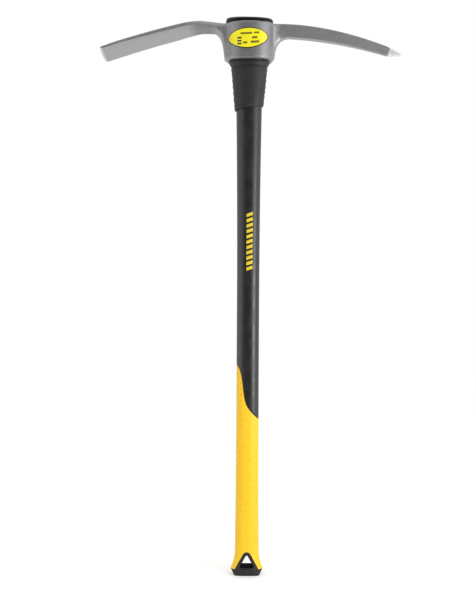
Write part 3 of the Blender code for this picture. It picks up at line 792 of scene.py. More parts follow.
def rimLift(x):
    # The rim of the eye rises towards the root of the pick, and a little towards the adze
    rise = head["pickLift"] if x > 0.0 else head["adzeLift"]
    return rise * ease((abs(x) - head["liftFrom"]) / (head["eyeHalfLength"] - head["liftFrom"]))


def towardsEnds(x):
    # None under the middle of the eye, full at its two ends
    return ease((abs(x) - head["footFlat"]) / head["footTurn"])


def filletWeight(point):
    # Full where the arms and webs grow out of the eye, none on the cheeks, blades and rims
    x = abs(point.x)
    start = head["eyeHalfLength"] - fillets["insideEnd"]
    inside = ease((x - start) / fillets["border"])
    inside *= 1.0 - ease((x - fillets["fadeFrom"]) / fillets["fade"])
    return inside * ease((point.z - head["eyeBottom"] - fillets["aboveFoot"]) / fillets["border"])


def buildEye():
    rings = []
    bottom, rimRound = head["eyeBottom"], head["rimRound"]
    edgeRows = roundedRows(rimRound)
    stretch, flatten = head["footRound"] / rimRound, head["footHeight"] / rimRound
    rows = [(bottom + rise * flatten, stretch * inset, inset, True) for rise, inset in edgeRows]
    rows += [(head["eyeTop"] - rise, inset, inset, False) for rise, inset in edgeRows[::-1]]
    for z, endInset, inset, atFoot in rows:
        size = (head["eyeHalfLength"] - endInset, head["eyeHalfDepth"] - inset)
        ring = ovalRing(*size, z, head["eyeShape"])
        for point in ring:
            point.z += head["footLift"] * towardsEnds(point.x) if atFoot else rimLift(point.x)
        rings.append(ring)
    return loft("headForging", rings)


def buildAdze(start):
    places = [start] + spread(head["eyeHalfLength"], *adze["neckRings"]) + spread(*adze["bladeRings"])
    places += [adze["reach"] - adze["bevelLength"]]
    return loft("adzeBlade", [adzeRing(d) for d in places] + [adzeRing(adze["reach"], cut=True)])


def buildPick(start):
    armFrom, armCount = pick["armRings"]
    tipStep, tipCount = pick["tipRings"]
    places = [start] + spread(pick["rootAt"], *pick["rootRings"])
    places += spread(armFrom, pickShoulder, armCount)
    places += spread(pickShoulder + tipStep, pick["reach"], tipCount)
    return loft("pickArm", [pickRing(d) for d in places])


def buildHead():
    made = buildEye()
    start = head["eyeHalfLength"] - head["buried"]
    reach = webs["pickWeb"][1]
    adzeWeb = webPlate("adzeWeb", adzeSection(webs["adzeWeb"][1])[3][1])
    pickWeb = webPlate("pickWeb", pickTop(reach) - pickHeight(reach))
    carve(made, "UNION", buildAdze(start), buildPick(start), adzeWeb, pickWeb)
    ends = (head["eyeBottom"] - fits["cutPast"], head["eyeTop"] + fits["cutPast"])
    rings = [ovalRing(*boreSize(z), z, head["boreShape"]) for z in ends]
    carve(made, "DIFFERENCE", loft("eyeBore", rings))
    evenSkin(made, head["voxel"], head["relaxed"])
    fillHollows(made, fillets["steps"], filletWeight)
    return made


# Steel: shot blasted and clear coated, ground bright at the cutting edge and the point
steel = {
    "colour": (0.395, 0.39, 0.4),
    "patchColour": (0.425, 0.42, 0.43),
    "grainColour": (0.325, 0.321, 0.33),
    # painted shade in the hollows
    "hollowShadeColour": (0.22, 0.22, 0.225),
    "tipColour": (0.76, 0.76, 0.76),
    "edgeColour": (0.56, 0.565, 0.555),
    "roughness": 0.49,
    "patchRoughness": 0.55,
    "groundRoughness": 0.36,
    "metallic": 0.85,
    "fineGrain": {"scale": 1500.0, "mottle": 90.0},
    "coarseGrain": {"scale": 620.0, "mottle": 260.0},
    "grinding": {"stretch": (0.12, 1.0, 0.12), "scale": 2200.0},
    # how far the painted shade in the hollows reaches, and how strong it is
    "hollowSpread": 0.1,
    "hollowShadeShare": 0.2,
    "speckle": 0.16,
    "grainRoughness": 0.1,
    "fineHeight": 0.35,
    "grainHeight": 0.9,
    "lineHeight": 0.5,
    "bump": 0.28,
    "bumpDepth": 0.0004,
    # From where to where each mask comes in
    "flatSides": (0.55, 0.85),
    "facingDown": (0.3, 0.0),
    "facingUp": (0.2, 0.7),
    "speckleHeights": (0.45, 0.95),
    "adzeGroundFrom": 0.2384,
    "tipGroundFrom": -0.1184,
    "tipLean": (0.924, 0.0, -0.383),
    # Painted shade: darker colours for the adze's neck and the eye's cheeks, and the boxes they fill
    # (middle, half size, border)
    "neckShadeColour": (0.255, 0.252, 0.258),
    "neckShadeBox": ((-0.074, 0.0, 0.88), (0.026, 0.05, 0.05), 0.016),
    "cheekShadeColour": (0.33, 0.326, 0.335),
    "cheekShadeBox": ((0.0, 0.0, 0.88), (0.044, 0.05, 0.05), 0.008),
}


def boxMask(tree, box):
    middle, halfSize, border = box
    return useGroup(tree, withinBox, middle=middle, halfSize=halfSize, border=border)["mask"]


def planeMask(tree, direction, past):
    return useGroup(tree, pastPlane, direction=direction, past=past)["mask"]


def steelMaterial():
    material, tree, shader = newMaterial("forgedSteel", values={"Metallic": steel["metallic"]})
    fine = useGroup(tree, grain, **steel["fineGrain"])
    coarse = useGroup(tree, grain, **steel["coarseGrain"])
    shape = useGroup(tree, edgesAndHollows, spread=steel["hollowSpread"])
    normal = addNode(tree, "ShaderNodeSeparateXYZ")
    join(tree, addNode(tree, "ShaderNodeNewGeometry").outputs["Normal"], normal.inputs[0])

    # The side faces of the pick keep the coarse grain of the forging
    flat = remap(tree, maths(tree, "ABSOLUTE", normal.outputs["Y"]), *steel["flatSides"], 0.0, 1.0)
    grainy = maths(tree, "MULTIPLY", planeMask(tree, (1.0, 0.0, 0.0), pick["rootEnd"]), flat)

    # Ground areas
    edge = planeMask(tree, (-1.0, -adze["edgeSkew"], 0.0), steel["adzeGroundFrom"])
    downwards = remap(tree, normal.outputs["Z"], *steel["facingDown"], 0.0, 1.0)
    edge = maths(tree, "MULTIPLY", edge, downwards)
    ground = maths(tree, "MAXIMUM", edge, planeMask(tree, steel["tipLean"], steel["tipGroundFrom"]))
    groundColour = blendColours(tree, edge, steel["tipColour"], steel["edgeColour"])

    # Painted shade: darker in the hollows, the cheeks a little darker, and darker still on the flanks and
    # belly of the adze's neck, less where they face up
    notAbove = remap(tree, normal.outputs["Z"], *steel["facingUp"], 1.0, 0.2)
    colour = addLayers(
        tree,
        steel["colour"],
        (fine["patches"], steel["patchColour"]),
        (grainy, steel["grainColour"]),
        (maths(tree, "MULTIPLY", shape["hollows"], steel["hollowShadeShare"]), steel["hollowShadeColour"]),
        (boxMask(tree, steel["cheekShadeBox"]), steel["cheekShadeColour"]),
        (maths(tree, "MULTIPLY", boxMask(tree, steel["neckShadeBox"]), notAbove), steel["neckShadeColour"]),
    )
    most = steel["speckle"]
    speckle = remap(tree, coarse["height"], *steel["speckleHeights"], -most, most)
    speckle = maths(tree, "MULTIPLY_ADD", speckle, grainy, 1.0)
    shade = addNode(tree, "ShaderNodeCombineColor")
    for place in range(3):
        join(tree, speckle, shade.inputs[place])
    colour = blendColours(tree, 1.0, colour, shade.outputs[0], "MULTIPLY")
    join(tree, addLayers(tree, colour, (ground, groundColour)), shader.inputs["Base Color"])

    rough = remap(tree, fine["patches"], 0.0, 1.0, steel["roughness"], steel["patchRoughness"])
    rough = maths(tree, "MULTIPLY_ADD", grainy, steel["grainRoughness"], rough)
    drop = maths(tree, "MULTIPLY", ground, steel["roughness"] - steel["groundRoughness"])
    join(tree, maths(tree, "SUBTRACT", rough, drop, clamp=True), shader.inputs["Roughness"])

    grains = maths(tree, "MULTIPLY", coarse["height"], grainy)
    lines = maths(tree, "MULTIPLY", useGroup(tree, scratches, **steel["grinding"])["lines"], ground)
    height = maths(tree, "MULTIPLY", fine["height"], steel["fineHeight"])
    height = maths(tree, "MULTIPLY_ADD", grains, steel["grainHeight"], height)
    height = maths(tree, "MULTIPLY_ADD", lines, steel["lineHeight"], height)
    addBump(tree, shader, height, steel["bump"], steel["bumpDepth"])
    return material


forging = buildHead()
finishPiece(forging, steelMaterial(), "forged_steel", "mattock_head", sharpAngle=60.0)
print("head forged:", len(forging.data.polygons), "faces")


# Moulded surfaces of the handle


def mouldedMaterial(name, look):
    # Plastic or rubber with a fine moulded grain, uneven gloss, and painted shade in its hollows
    material, tree, shader = newMaterial(name, values={"Specular IOR Level": look["specular"]})
    fine = useGroup(tree, grain, scale=look["grainScale"], mottle=look["mottle"])
    shape = useGroup(tree, edgesAndHollows, spread=look["edgeSpread"])
    colour = addLayers(
        tree,
        look["colour"],
        (fine["patches"], look["patchColour"]),
        (maths(tree, "MULTIPLY", shape["edges"], look["edgeShare"]), look["edgeColour"]),
        # painted shade: darker in the hollows
        (maths(tree, "MULTIPLY", shape["hollows"], look["hollowShadeShare"]), look["hollowShadeColour"]),
    )
    rough = remap(tree, fine["patches"], 0.0, 1.0, look["roughness"], look["patchRoughness"])
    if "throat" in look:
        # Painted shade inside its hole: darker there, and the surface there is also rougher
        inside = boxMask(tree, look["throat"])
        colour = addLayers(tree, colour, (inside, look["throatShadeColour"]))
        rough = maths(tree, "MULTIPLY_ADD", inside, look["throatRoughness"], rough)
    join(tree, colour, shader.inputs["Base Color"])
    join(tree, rough, shader.inputs["Roughness"])
    addBump(tree, shader, fine["height"], look["bump"], look["bumpDepth"])
    return material


shaftPlastic = {
    "colour": (0.015, 0.014, 0.0135),
    "patchColour": (0.0185, 0.0175, 0.017),
    "edgeColour": (0.05, 0.05, 0.05),
    "edgeShare": 0.3,
    "edgeSpread": 0.1,
    # painted shade in the hollows
    "hollowShadeColour": (0.03, 0.03, 0.03),
    "hollowShadeShare": 0.3,
    "roughness": 0.34,
    "patchRoughness": 0.42,
    "specular": 0.65,
    "grainScale": 1800.0,
    "mottle": 60.0,
    "bump": 0.1,
    "bumpDepth": 0.0003,
}

collarRubber = dict(
    shaftPlastic,
    colour=(0.017, 0.0165, 0.016),
    patchColour=(0.021, 0.0205, 0.02),
    hollowShadeColour=(0.01, 0.01, 0.01),
    hollowShadeShare=0.7,
    specular=0.5,
    roughness=0.5,
    patchRoughness=0.58,
    bump=0.2,
)

knobPlastic = dict(
    shaftPlastic,
    colour=(0.027, 0.026, 0.0255),
    patchColour=(0.031, 0.03, 0.029),
    hollowShadeColour=(0.006, 0.006, 0.006),
    hollowShadeShare=0.6,
    specular=0.22,
    # Painted shade inside the hang hole: its box, colour and added roughness
    throat=((0.0, 0.0, 0.023), (0.015, 0.0132, 0.013), 0.0008),
    throatShadeColour=(0.0015, 0.0015, 0.0015),
    throatRoughness=0.4,
    roughness=0.5,
    patchRoughness=0.58,
    bump=0.16,
)

gripRubber = {
    "colour": (0.99, 0.585, 0.008),
    "patchColour": (0.99, 0.615, 0.011),
    "edgeColour": (0.97, 0.68, 0.05),
    "edgeShare": 0.4,
    "edgeSpread": 0.08,
    # painted shade in the hollows
    "hollowShadeColour": (0.66, 0.33, 0.01),
    "hollowShadeShare": 1.0,
    "roughness": 0.36,
    "patchRoughness": 0.44,
    "specular": 0.45,
    "grainScale": 1500.0,
    "mottle": 70.0,
    "bump": 0.12,
    "bumpDepth": 0.0003,
}


# Cap over the eye, with a thin rim
cap = {
    "height": 0.0105,
    "lip": 0.0062,
    "sideLip": 0.0024,
    "sideHeight": 0.0044,
    "slope": 0.02,
    "shape": 2.7,
    "crestInset": 0.0095,
    "endRound": 0.3,
    "sideRound": 2.1,
    "rimHeight": 0.0026,
    "rimGrooves": (0.0004, 0.00056, 0.00032),  # each a step above the one before
    "rimStep": 0.0004,
    "footRound": 0.0006,
    "rows": 14,
    "around": 128,
}

capPlastic = dict(
    knobPlastic,
    colour=(0.009, 0.0088, 0.0086),
    patchColour=(0.011, 0.0106, 0.0104),
    edgeShare=0.0,
    specular=0.3,
    roughness=0.36,
    patchRoughness=0.44,
)


def buildCap():
    halfLength, halfDepth = boreSize(head["eyeTop"])
    halfLength += cap["lip"]
    halfDepth += cap["sideLip"]
    bottom, top = head["eyeTop"] + fits["gap"], head["eyeTop"] + cap["height"]
    crown = cap["height"] - cap["sideHeight"]
    rim, step = bottom + cap["rimHeight"], cap["rimStep"]
    rows = [(bottom, cap["footRound"]), (bottom + step, 0.0), (rim - step, 0.0)]
    rows += [(rim + i * step, groove) for i, groove in enumerate(cap["rimGrooves"])]
    rows += [(top - drop, inset) for drop, inset in roundedRows(crown, cap["rows"])[:0:-1]]
    rows.append((top, cap["crestInset"]))
    crest = halfLength - cap["endRound"] * cap["crestInset"]
    rings = []
    for z, inset in rows:
        size = (halfLength - cap["endRound"] * inset, halfDepth - cap["sideRound"] * inset)
        ring = ovalRing(*size, z, cap["shape"], cap["around"])
        share = (z - bottom) / (top - bottom)
        for point in ring:
            point.z += (1.0 - share) * rimLift(point.x)
            point.z -= share * cap["slope"] * (point.x + crest)
        rings.append(ring)
    return loft("eyeCap", rings)


eyeCap = buildCap()
finishPiece(eyeCap, mouldedMaterial("capPlastic", capPlastic), "black_plastic", "top_cap")
print("cap on")


# Outline of the handle, which its pieces share
handle = {
    "waistAt": 0.4,
    # Half width and half depth
    "waist": (0.0184, 0.0145),
    "top": (0.0211, 0.0152),
    "rim": (0.0265, 0.0165),
    "core": (0.0118, 0.0084),
    "gripGirth": (0.0186, 0.0145),
    "topPower": 2.4,
    "buttHalfWidth": 0.0198,
    "buttPower": 3.7,
    "shape": 2.15,
    "neckPower": 1.15,
    "flareHeight": 0.04,
    "rimHeight": 0.0108,
    "collarBottom": 0.767,
    "jacketTop": 0.8392,
    "coreShape": 2.0,
    "coreAround": 64,
}


def shaftSize(z):
    # Half width and half depth of the shaft: waisted, and swelling into the block under the eye
    waist = handle["waist"]
    if z < handle["waistAt"]:
        share = progress(z, handle["waistAt"], handle["flareHeight"]) ** handle["buttPower"]
        return between(waist[0], handle["buttHalfWidth"], share), waist[1]
    share = progress(z, handle["waistAt"], handle["collarBottom"]) ** handle["topPower"]
    rise = progress(z, handle["collarBottom"], handle["jacketTop"]) ** handle["neckPower"]
    return betweenSizes(betweenSizes(waist, handle["top"], share), blockSize(head["eyeBottom"]), rise)


def handleSize(z):
    share = progress(z, handle["flareHeight"], handle["rimHeight"]) ** 2
    return betweenSizes(shaftSize(z), handle["rim"], share)


def handlePoint(z, inset, turn):
    return ovalPoint(*grown(handleSize(z), -inset), z, handle["shape"], turn)


def stepRing(z, inset, around):
    return [handlePoint(z, inset, turn) for turn in fullTurn(around)]


def coreRing(z, grow=0.0):
    return ovalRing(*grown(handle["core"], grow), z, handle["coreShape"], handle["coreAround"])


def gripX(turn):
    # Where a turn round the grip lies along X
    return ovalPoint(*handle["gripGirth"], 0.0, handle["shape"], turn).x


# Collar under the head: a lip, a groove below it, and chevron ribs down both sides
collar = {
    "wall": 0.0043,
    "hemWall": 0.0016,
    "wallPower": 0.35,
    "lipEnd": 0.0028,
    "lipSide": 0.0008,
    "lipHeight": 0.0074,
    "endLift": 0.002,
    "lipRound": 0.0014,
    "lipLand": 0.003,
    "hemSlant": 0.007,
    "slantHeight": 0.039,
    "groove": 0.001,
    "grooveWidth": 0.003,
    "rows": 150,
    "insideRows": 24,
    "around": 240,
    "ribPitch": 0.0096,
    "ribWidth": 0.0034,
    "ribSlope": 0.8,
    "ribHeight": 0.0006,
    "panelFrom": 0.0045,
    "panelTo": 0.004,
    "panelHalf": 0.0195,
    "panelFade": 0.0012,
    "ribFade": 0.0015,
    "girth": (0.026, 0.019),
    "groovePower": 0.7,
    "lipProud": 0.0003,
}


def sideDistance(halfWidth, halfDepth, shape, count):
    # Distance along an oval from the middle of its nearer side, for each of its points
    ring = ovalRing(halfWidth, halfDepth, 0.0, shape, count)
    quarter = [0.0]
    for i in range(count // 4):
        quarter.append(quarter[-1] + (ring[i + 1] - ring[i]).length)
    steps = [i % (count // 2) for i in range(count)]
    return [quarter[min(step, count // 2 - step)] for step in steps]


def collarOutside(z):
    # How far the collar stands out from the handle at z, along X and along Y
    top = head["eyeBottom"] - fits["gap"]
    wall = collar["wall"] + fits["gap"]
    lipLow = top - collar["lipHeight"]
    belowGroove = lipLow - collar["grooveWidth"]
    if z <= belowGroove:
        share = max((z - handle["collarBottom"]) / (belowGroove - handle["collarBottom"]), 0.0)
        add = between(collar["hemWall"], collar["wall"], share ** collar["wallPower"])
        return add + fits["gap"], add + fits["gap"]
    if z <= lipLow:
        share = (z - belowGroove) / collar["grooveWidth"]
        dip = collar["groove"] * math.sin(math.pi * share) ** collar["groovePower"]
        return wall - dip, wall - dip
    share = min((z - lipLow) / (collar["lipHeight"] - collar["lipLand"]), 1.0)
    above = progress(z, top - collar["lipRound"], top)
    wall += collar["lipProud"] - collar["lipRound"] * (1.0 - math.sqrt(1.0 - above * above))
    return wall + collar["lipEnd"] * share, wall + collar["lipSide"] * share


def buildCollar():
    top = head["eyeBottom"] - fits["gap"]
    bottom = handle["collarBottom"]
    ribTop = top - collar["lipHeight"] - collar["grooveWidth"] - collar["panelTo"]
    ribBottom = bottom + collar["panelFrom"]
    distances = sideDistance(*collar["girth"], handle["shape"], collar["around"])
    turns = fullTurn(collar["around"])
    outside = []
    for z in spread(bottom, top, collar["rows"]):
        addWidth, addDepth = collarOutside(z)
        halfWidth, halfDepth = shaftSize(z)
        inPanel = ease((z - ribBottom) / collar["ribFade"]) * ease((ribTop - z) / collar["ribFade"])
        ring = []
        for turn, distance in zip(turns, distances):
            phase = ((z - collar["ribSlope"] * distance) / collar["ribPitch"]) % 1.0
            off = abs(phase - 0.5) * collar["ribPitch"] / (collar["ribWidth"] / 2.0)
            within = inPanel * ease((collar["panelHalf"] - distance) / collar["panelFade"])
            inset = within * collar["ribHeight"] * ease(off)
            size = (halfWidth + addWidth - inset, halfDepth + addDepth - inset)
            ring.append(ovalPoint(*size, z, handle["shape"], turn))
        outside.append(ring)
    inside = []
    for z in spread(bottom, handle["jacketTop"], collar["insideRows"]) + [top]:
        size = grown(shaftSize(z), fits["gap"])
        inside.append(ovalRing(*size, z, handle["shape"], collar["around"]))
    for ring in outside + inside:
        for point in ring:
            low = 1.0 - ease((point.z - bottom) / collar["slantHeight"])
            high = ease((point.z - ribTop) / (top - ribTop))
            point.z += low * collar["hemSlant"] * point.x / (2.0 * handle["top"][0])
            point.z += high * collar["endLift"] * towardsEnds(point.x)
    return loft("collarSleeve", outside + inside[::-1], loop=True)


collarSleeve = buildCollar()
finishPiece(collarSleeve, mouldedMaterial("collarRubber", collarRubber), "black_rubber", "head_collar")
print("collar on")


# Edge of the grip: it falls in an S from -X to +X
gripEdge = {
    "at": 0.3019,
    "offset": 0.0079,
    "rise": 0.0576,
    "width": 0.0042,
    "slope": 0.92,
    "wall": 0.0028,
}


def edgeHeight(x):
    along = (x + gripEdge["offset"]) / gripEdge["width"]
    fall = gripEdge["rise"] / 2.0 * along / math.sqrt(1.0 + along * along)
    return gripEdge["at"] - gripEdge["slope"] * x - fall


# Shaft: full size above the grip's edge, and a thinner neck inside the grip
shaft = {
    "bottom": 0.0456,
    "around": 192,
    "rows": 120,
    "edgeRound": 0.0006,
    "neckTop": 0.235,
    "neckRows": 20,
    "boreEnds": (0.04, 0.845),
}


def edgedRing(share, inset, lift):
    # One ring between the grip's edge, at share 0, and the level top, at share 1
    ring = []
    for turn in fullTurn(shaft["around"]):
        z = between(edgeHeight(gripX(turn)) + lift, handle["jacketTop"], share)
        ring.append(handlePoint(z, inset, turn))
    return ring


def buildShaft():
    neck, edgeRound = gripEdge["wall"] + fits["gap"], shaft["edgeRound"]
    heights = spread(shaft["bottom"], shaft["neckTop"], shaft["neckRows"])
    rings = [stepRing(z, neck, shaft["around"]) for z in heights]
    bend = fits["roundMiddle"] * edgeRound
    for inset, lift in ((neck, 0.0), (edgeRound, 0.0), (bend, bend)):
        rings.append(edgedRing(0.0, inset, lift))
    rings += [edgedRing(share, 0.0, edgeRound) for share in spread(0.0, 1.0, shaft["rows"])]
    made = loft("shaftShell", rings)
    carve(made, "DIFFERENCE", loft("coreBore", [coreRing(z, fits["gap"]) for z in shaft["boreEnds"]]))
    return made


shaftShell = buildShaft()
finishPiece(shaftShell, mouldedMaterial("shaftPlastic", shaftPlastic), "black_plastic", "shaft_jacket")
print("shaft in")


# Grip: soft yellow sleeve, with rows of slanting marks on both sides
grip = {
    "bottom": 0.0111,
    "floor": 0.0456,
    "around": 240,
    "rows": 330,
    "edgeRound": 0.0007,
    "columns": ((0.0, 0.0036), (0.0052, 0.0102), (0.012, 0.0168)),
    "markPitch": 0.01,
    "markWidth": 0.0012,
    "markSlope": 0.75,
    "markDepth": 0.0006,
    "marksFrom": 0.046,
    "marksBelowEdge": 0.008,
    "columnFade": 0.0006,
    "endFade": 0.002,
    "roomTop": 0.225,
    "roomRows": 20,
}

tongue = {
    "top": 0.0393,
    "radius": 0.007,
    "halfWidth": 0.0194,
    "rows": 24,
    "spigotTop": 0.0573,
    "spigotBottom": 0.0323,
    "spigotRoom": (0.032, 0.047),
}


def tongueOutline(grow):
    radius = tongue["radius"] + grow
    centre = tongue["top"] - tongue["radius"]
    drop = centre - handle["rimHeight"]
    reach = math.hypot(tongue["halfWidth"], drop)
    lean = math.atan2(tongue["halfWidth"], drop) - math.asin(tongue["radius"] / reach)
    arc = [
        (radius * math.sin(a), centre + radius * math.cos(a))
        for a in spread(-math.pi / 2.0 + lean, math.pi / 2.0 - lean, tongue["rows"])
    ]
    foot = tongue["halfWidth"] + grow / math.cos(lean)
    return [(-foot, handle["rimHeight"])] + arc + [(foot, handle["rimHeight"])]


def markDepth(distance, z, edge):
    # Depth of the slanting marks at a distance from the middle of the side
    phase = ((z - grip["markSlope"] * distance) / grip["markPitch"]) % 1.0
    off = abs(phase - 0.5) * grip["markPitch"] / grip["markWidth"]
    column, fade = 0.0, grip["columnFade"]
    for low, high in grip["columns"]:
        column = max(column, ease((distance - low) / fade + 0.5) * ease((high - distance) / fade + 0.5))
    top, fade = edge - grip["marksBelowEdge"], grip["endFade"]
    ends = ease((z - grip["marksFrom"]) / fade) * ease((top - z) / fade)
    return grip["markDepth"] * (1.0 - ease(off)) * column * ends


def buildGrip():
    count, edgeRound, wall = grip["around"], grip["edgeRound"], gripEdge["wall"]
    turns = fullTurn(count)
    distances = sideDistance(*handle["gripGirth"], handle["shape"], count)
    edges = [edgeHeight(gripX(turn)) - fits["gap"] for turn in turns]
    rings = []
    for share in spread(0.0, 1.0, grip["rows"]):
        ring = []
        for turn, distance, edge in zip(turns, distances, edges):
            z = between(grip["bottom"], edge - edgeRound, share)
            ring.append(handlePoint(z, markDepth(distance, z, edge), turn))
        rings.append(ring)
    bend = fits["roundMiddle"] * edgeRound
    for inset, below in ((bend, bend), (edgeRound, 0.0), (wall, 0.0)):
        ring = [handlePoint(edge, inset, turn) for turn, edge in zip(turns, edges)]
        for point in ring:
            point.z -= below
        rings.append(ring)
    heights = spread(grip["roomTop"], grip["floor"], grip["roomRows"])
    rings += [stepRing(z, wall, count) for z in heights]
    made = loft("gripSleeve", rings)
    notch = tongueOutline(fits["gap"])
    low = handle["rimHeight"] - fits["cutPast"]
    notch = [(notch[0][0], low)] + notch + [(notch[-1][0], low)]
    spigotRoom = loft("spigotRoom", [coreRing(z, fits["gap"]) for z in tongue["spigotRoom"]])
    carve(made, "DIFFERENCE", prism("notch", notch, fits["cutReach"]), spigotRoom)
    return made


gripSleeve = buildGrip()
finishPiece(gripSleeve, mouldedMaterial("gripRubber", gripRubber), "yellow_rubber", "grip_sleeve")
print("grip on")


# Butt knob: base, rim, tongue and spigot, with the hang hole through it
knob = {
    "base": (0.021, 0.0125),  # half width and half depth
    "baseRound": 0.0016,
    "baseShape": 5.0,
    "holeBottom": 0.015,
    "holeTop": 0.0325,
    "holeHalfWidth": 0.0095,
    "holeCorner": 0.002,
    "cornerSteps": 10,
    "holeFlare": 0.003,
    "holeFlareDepth": 0.005,
    "rows": 24,
    "around": 96,
    "voxel": 0.00042,
    "relaxed": 5,
}


def holeOutline(grow):
    corner = knob["holeCorner"] + grow
    half = knob["holeHalfWidth"] - knob["holeCorner"]
    low = knob["holeBottom"] + knob["holeCorner"]
    high = knob["holeTop"] - knob["holeCorner"]
    lean = math.degrees(math.atan2(half, high - low))
    corners = (
        (half, low, -90.0, lean),
        (0.0, high, lean, 180.0 - lean),
        (-half, low, 180.0 - lean, 270.0),
    )
    outline = []
    for x, z, start, stop in corners:
        for angle in spread(math.radians(start), math.radians(stop), knob["cornerSteps"]):
            outline.append((x + corner * math.cos(angle), z + corner * math.sin(angle)))
    return outline


def buildKnob():
    rings = []
    rim = handle["rimHeight"]
    for z, inset in roundedRows(knob["baseRound"]):
        share = z / rim
        size = grown(betweenSizes(knob["base"], handle["rim"], share), -inset)
        rings.append(ovalRing(*size, z, between(knob["baseShape"], handle["shape"], share)))
    rings += [stepRing(z, 0.0, knob["around"]) for z in spread(rim, handle["flareHeight"], knob["rows"])]
    made = loft("buttKnob", rings)
    reach = fits["cutReach"]
    sides = [(reach, rim), (reach, -reach), (-reach, -reach), (-reach, rim)]
    carve(made, "INTERSECT", prism("tongueShape", tongueOutline(0.0) + sides, reach))
    spigotEnds = (tongue["spigotBottom"], tongue["spigotTop"])
    carve(made, "UNION", loft("spigot", [coreRing(z) for z in spigotEnds]))
    face = handleSize((knob["holeBottom"] + knob["holeTop"]) / 2.0)[1]
    # The flare goes on past both faces, twice as far again, and so grows to three times its size
    throat, past = face - knob["holeFlareDepth"], 2.0 * knob["holeFlareDepth"]
    wide = 3.0 * knob["holeFlare"]
    places = ((-face - past, wide), (-throat, 0.0), (throat, 0.0), (face + past, wide))
    rings = [[Vector((x, y, z)) for x, z in holeOutline(grow)] for y, grow in places]
    carve(made, "DIFFERENCE", loft("hangHole", rings))
    evenSkin(made, knob["voxel"], knob["relaxed"])
    return made


buttKnob = buildKnob()
knobMaterial = mouldedMaterial("knobPlastic", knobPlastic)
finishPiece(buttKnob, knobMaterial, "black_plastic", "butt_knob", sharpAngle=60.0)
print("knob on:", len(buttKnob.data.polygons), "faces")


# Label: a dark bordered oval on the cheek, with plain bars on it
label = {
    "halfLength": 0.0325,
    "halfHeight": 0.0167,
    "belowRim": 0.0285,
    "offset": -0.0022,
    "tilt": 0.042,
    "bow": 0.0019,
    "shape": 1.85,
    "blunt": 0.04,
    "border": 0.0014,
    "thickness": 0.00028,
    "fieldThickness": 0.00036,
    "inkThickness": 0.00046,
    # Bars: from and to along the label, bottom and top across it, in shares of its half sizes
    "bars": (
        (-0.52, -0.32, -0.07, 0.09),
        (-0.52, -0.32, -0.35, -0.19),
        (-0.52, -0.32, -0.63, -0.47),
    ),
    "faintBars": (
        (-0.37, 0.2, 0.34, 0.52),
        (0.29, 0.56, 0.36, 0.54),
        (-0.24, -0.04, -0.58, -0.36),
        (0.2, 0.46, -0.12, 0.1),
        (0.13, 0.54, -0.54, -0.32),
    ),
    "columns": 60,
    "barColumns": 24,
    "inkRoughness": 0.4,
    "yellowRoughness": 0.3,
    "ink": (0.022, 0.022, 0.02),
    "faintInk": (0.2, 0.155, 0.012),
    "yellow": (0.93, 0.82, 0.004),
}


def ovalHeight(along, shape):
    # How high an oval stands at a share of its half length, as a share of its half height
    return (1.0 - min(abs(along), 0.999) ** shape) ** (1.0 / shape)


def cheekPoint(x, z):
    along = min(abs(x) / head["eyeHalfLength"], 0.999)
    share = ovalHeight(along, head["eyeShape"])
    slope = head["eyeHalfDepth"] / head["eyeHalfLength"] * (along / share) ** (head["eyeShape"] - 1.0)
    away = Vector((math.copysign(slope, x), -1.0, 0.0)).normalized()
    return Vector((x, -head["eyeHalfDepth"] * share, z)) + away * fits["gap"]


def labelCentre(u):
    # Height of the label's middle line: it tilts, and both ends rise a little
    x = label["offset"] + label["halfLength"] * u
    return head["eyeTop"] - label["belowRim"] + label["tilt"] * x + label["bow"] * u**2


def ovalColumns(inset):
    columns = []
    halfLength, halfHeight = label["halfLength"] - inset, label["halfHeight"] - inset
    blunt = label["blunt"] * math.pi
    for angle in spread(blunt, math.pi - blunt, label["columns"]):
        u = -math.cos(angle)
        x = label["offset"] + halfLength * u
        rise = halfHeight * ovalHeight(u, label["shape"])
        centre = labelCentre(u)
        columns.append((x, centre - rise, centre + rise))
    return columns


def barColumns(left, right, low, high):
    columns = []
    for u in spread(left, right, label["barColumns"]):
        x = label["offset"] + label["halfLength"] * u
        centre = labelCentre(u)
        columns.append((x, centre + low * label["halfHeight"], centre + high * label["halfHeight"]))
    return columns


# Film: even colour with slight unevenness under a clear glossy layer
film = {
    "coat": 0.3,
    "grain": {"scale": 700.0, "mottle": 60.0},
    "darker": 0.93,
    "bump": 0.05,
    "bumpDepth": 0.0002,
}


def filmMaterial(name, colour, roughness):
    values = {"Roughness": roughness, "Coat Weight": film["coat"]}
    material, tree, shader = newMaterial(name, values=values)
    fine = useGroup(tree, grain, **film["grain"])
    darker = tuple(film["darker"] * part for part in colour)
    join(tree, addLayers(tree, colour, (fine["patches"], darker)), shader.inputs["Base Color"])
    addBump(tree, shader, fine["height"], film["bump"], film["bumpDepth"])
    return material


inkMaterial = filmMaterial("labelInk", label["ink"], label["inkRoughness"])
faintMaterial = filmMaterial("labelFaintInk", label["faintInk"], label["inkRoughness"])
fieldMaterial = filmMaterial("labelFilm", label["yellow"], label["yellowRoughness"])

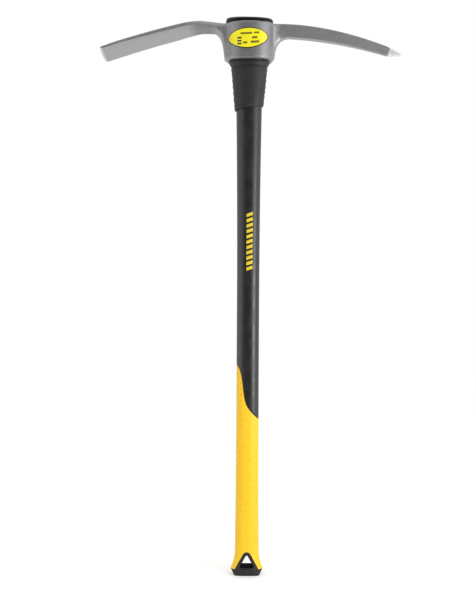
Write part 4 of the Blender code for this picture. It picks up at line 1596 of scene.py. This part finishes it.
border = wrapPatch("labelBorder", ovalColumns(0.0), cheekPoint, label["thickness"])
finishPiece(border, inkMaterial, "label_film", "head_label")
field = wrapPatch("labelField", ovalColumns(label["border"]), cheekPoint, label["fieldThickness"])
finishPiece(field, fieldMaterial, "label_film", "head_label")
inks = [(bar, inkMaterial) for bar in label["bars"]]
inks += [(bar, faintMaterial) for bar in label["faintBars"]]
for number, (bar, material) in enumerate(inks, 1):
    ink = wrapPatch(f"labelBar{number}", barColumns(*bar), cheekPoint, label["inkThickness"], rows=4)
    finishPiece(ink, material, "label_film", "head_label")
print("label stuck on")


# Bars on the front of the shaft: one row, all slanting alike
shaftBars = {
    "top": 0.5975,
    "bottom": 0.501,
    "count": 11,
    "columns": 9,
    "halfWidth": 0.005,
    "middle": 0.002,
    "barShare": 0.6,
    "slant": 0.35,
    "thickness": 0.00012,
    "stuckOn": 0.00004,
    "colour": (0.8, 0.6, 0.012),
    "roughness": 0.45,
}


def shaftPoint(x, z):
    halfWidth, halfDepth = shaftSize(z)
    depth = halfDepth * ovalHeight(x / halfWidth, handle["shape"])
    return Vector((x, -depth - shaftBars["stuckOn"], z))


def addShaftBars():
    pitch = (shaftBars["top"] - shaftBars["bottom"]) / shaftBars["count"]
    material = filmMaterial("barYellow", shaftBars["colour"], shaftBars["roughness"])
    for number in range(shaftBars["count"]):
        low = shaftBars["bottom"] + number * pitch
        columns = []
        for share in spread(-1.0, 1.0, shaftBars["columns"]):
            x = shaftBars["middle"] + share * shaftBars["halfWidth"]
            rise = shaftBars["slant"] * share * shaftBars["halfWidth"]
            columns.append((x, low + rise, low + rise + shaftBars["barShare"] * pitch))
        made = wrapPatch(f"shaftBar{number + 1}", columns, shaftPoint, shaftBars["thickness"], rows=4)
        finishPiece(made, material, "label_film")


addShaftBars()
print("bars on the shaft")


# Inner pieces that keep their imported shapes: colour, colour of the patches, roughness
inner = {
    "fibreglass_core": ((0.52, 0.46, 0.26), (0.6, 0.55, 0.34), 0.32),
    "eye_bond": ((0.46, 0.38, 0.19), (0.52, 0.44, 0.24), 0.28),
    "eye_block": ((0.02, 0.019, 0.018), (0.026, 0.025, 0.024), 0.42),
}

for name, (colour, patchColour, roughness) in inner.items():
    look = dict(
        shaftPlastic,
        colour=colour,
        patchColour=patchColour,
        edgeColour=patchColour,
        hollowShadeColour=colour,
        roughness=roughness,
        patchRoughness=roughness + 0.08,
    )
    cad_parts[name].data.materials[0] = mouldedMaterial(name + "Finish", look)
print("inner pieces finished")
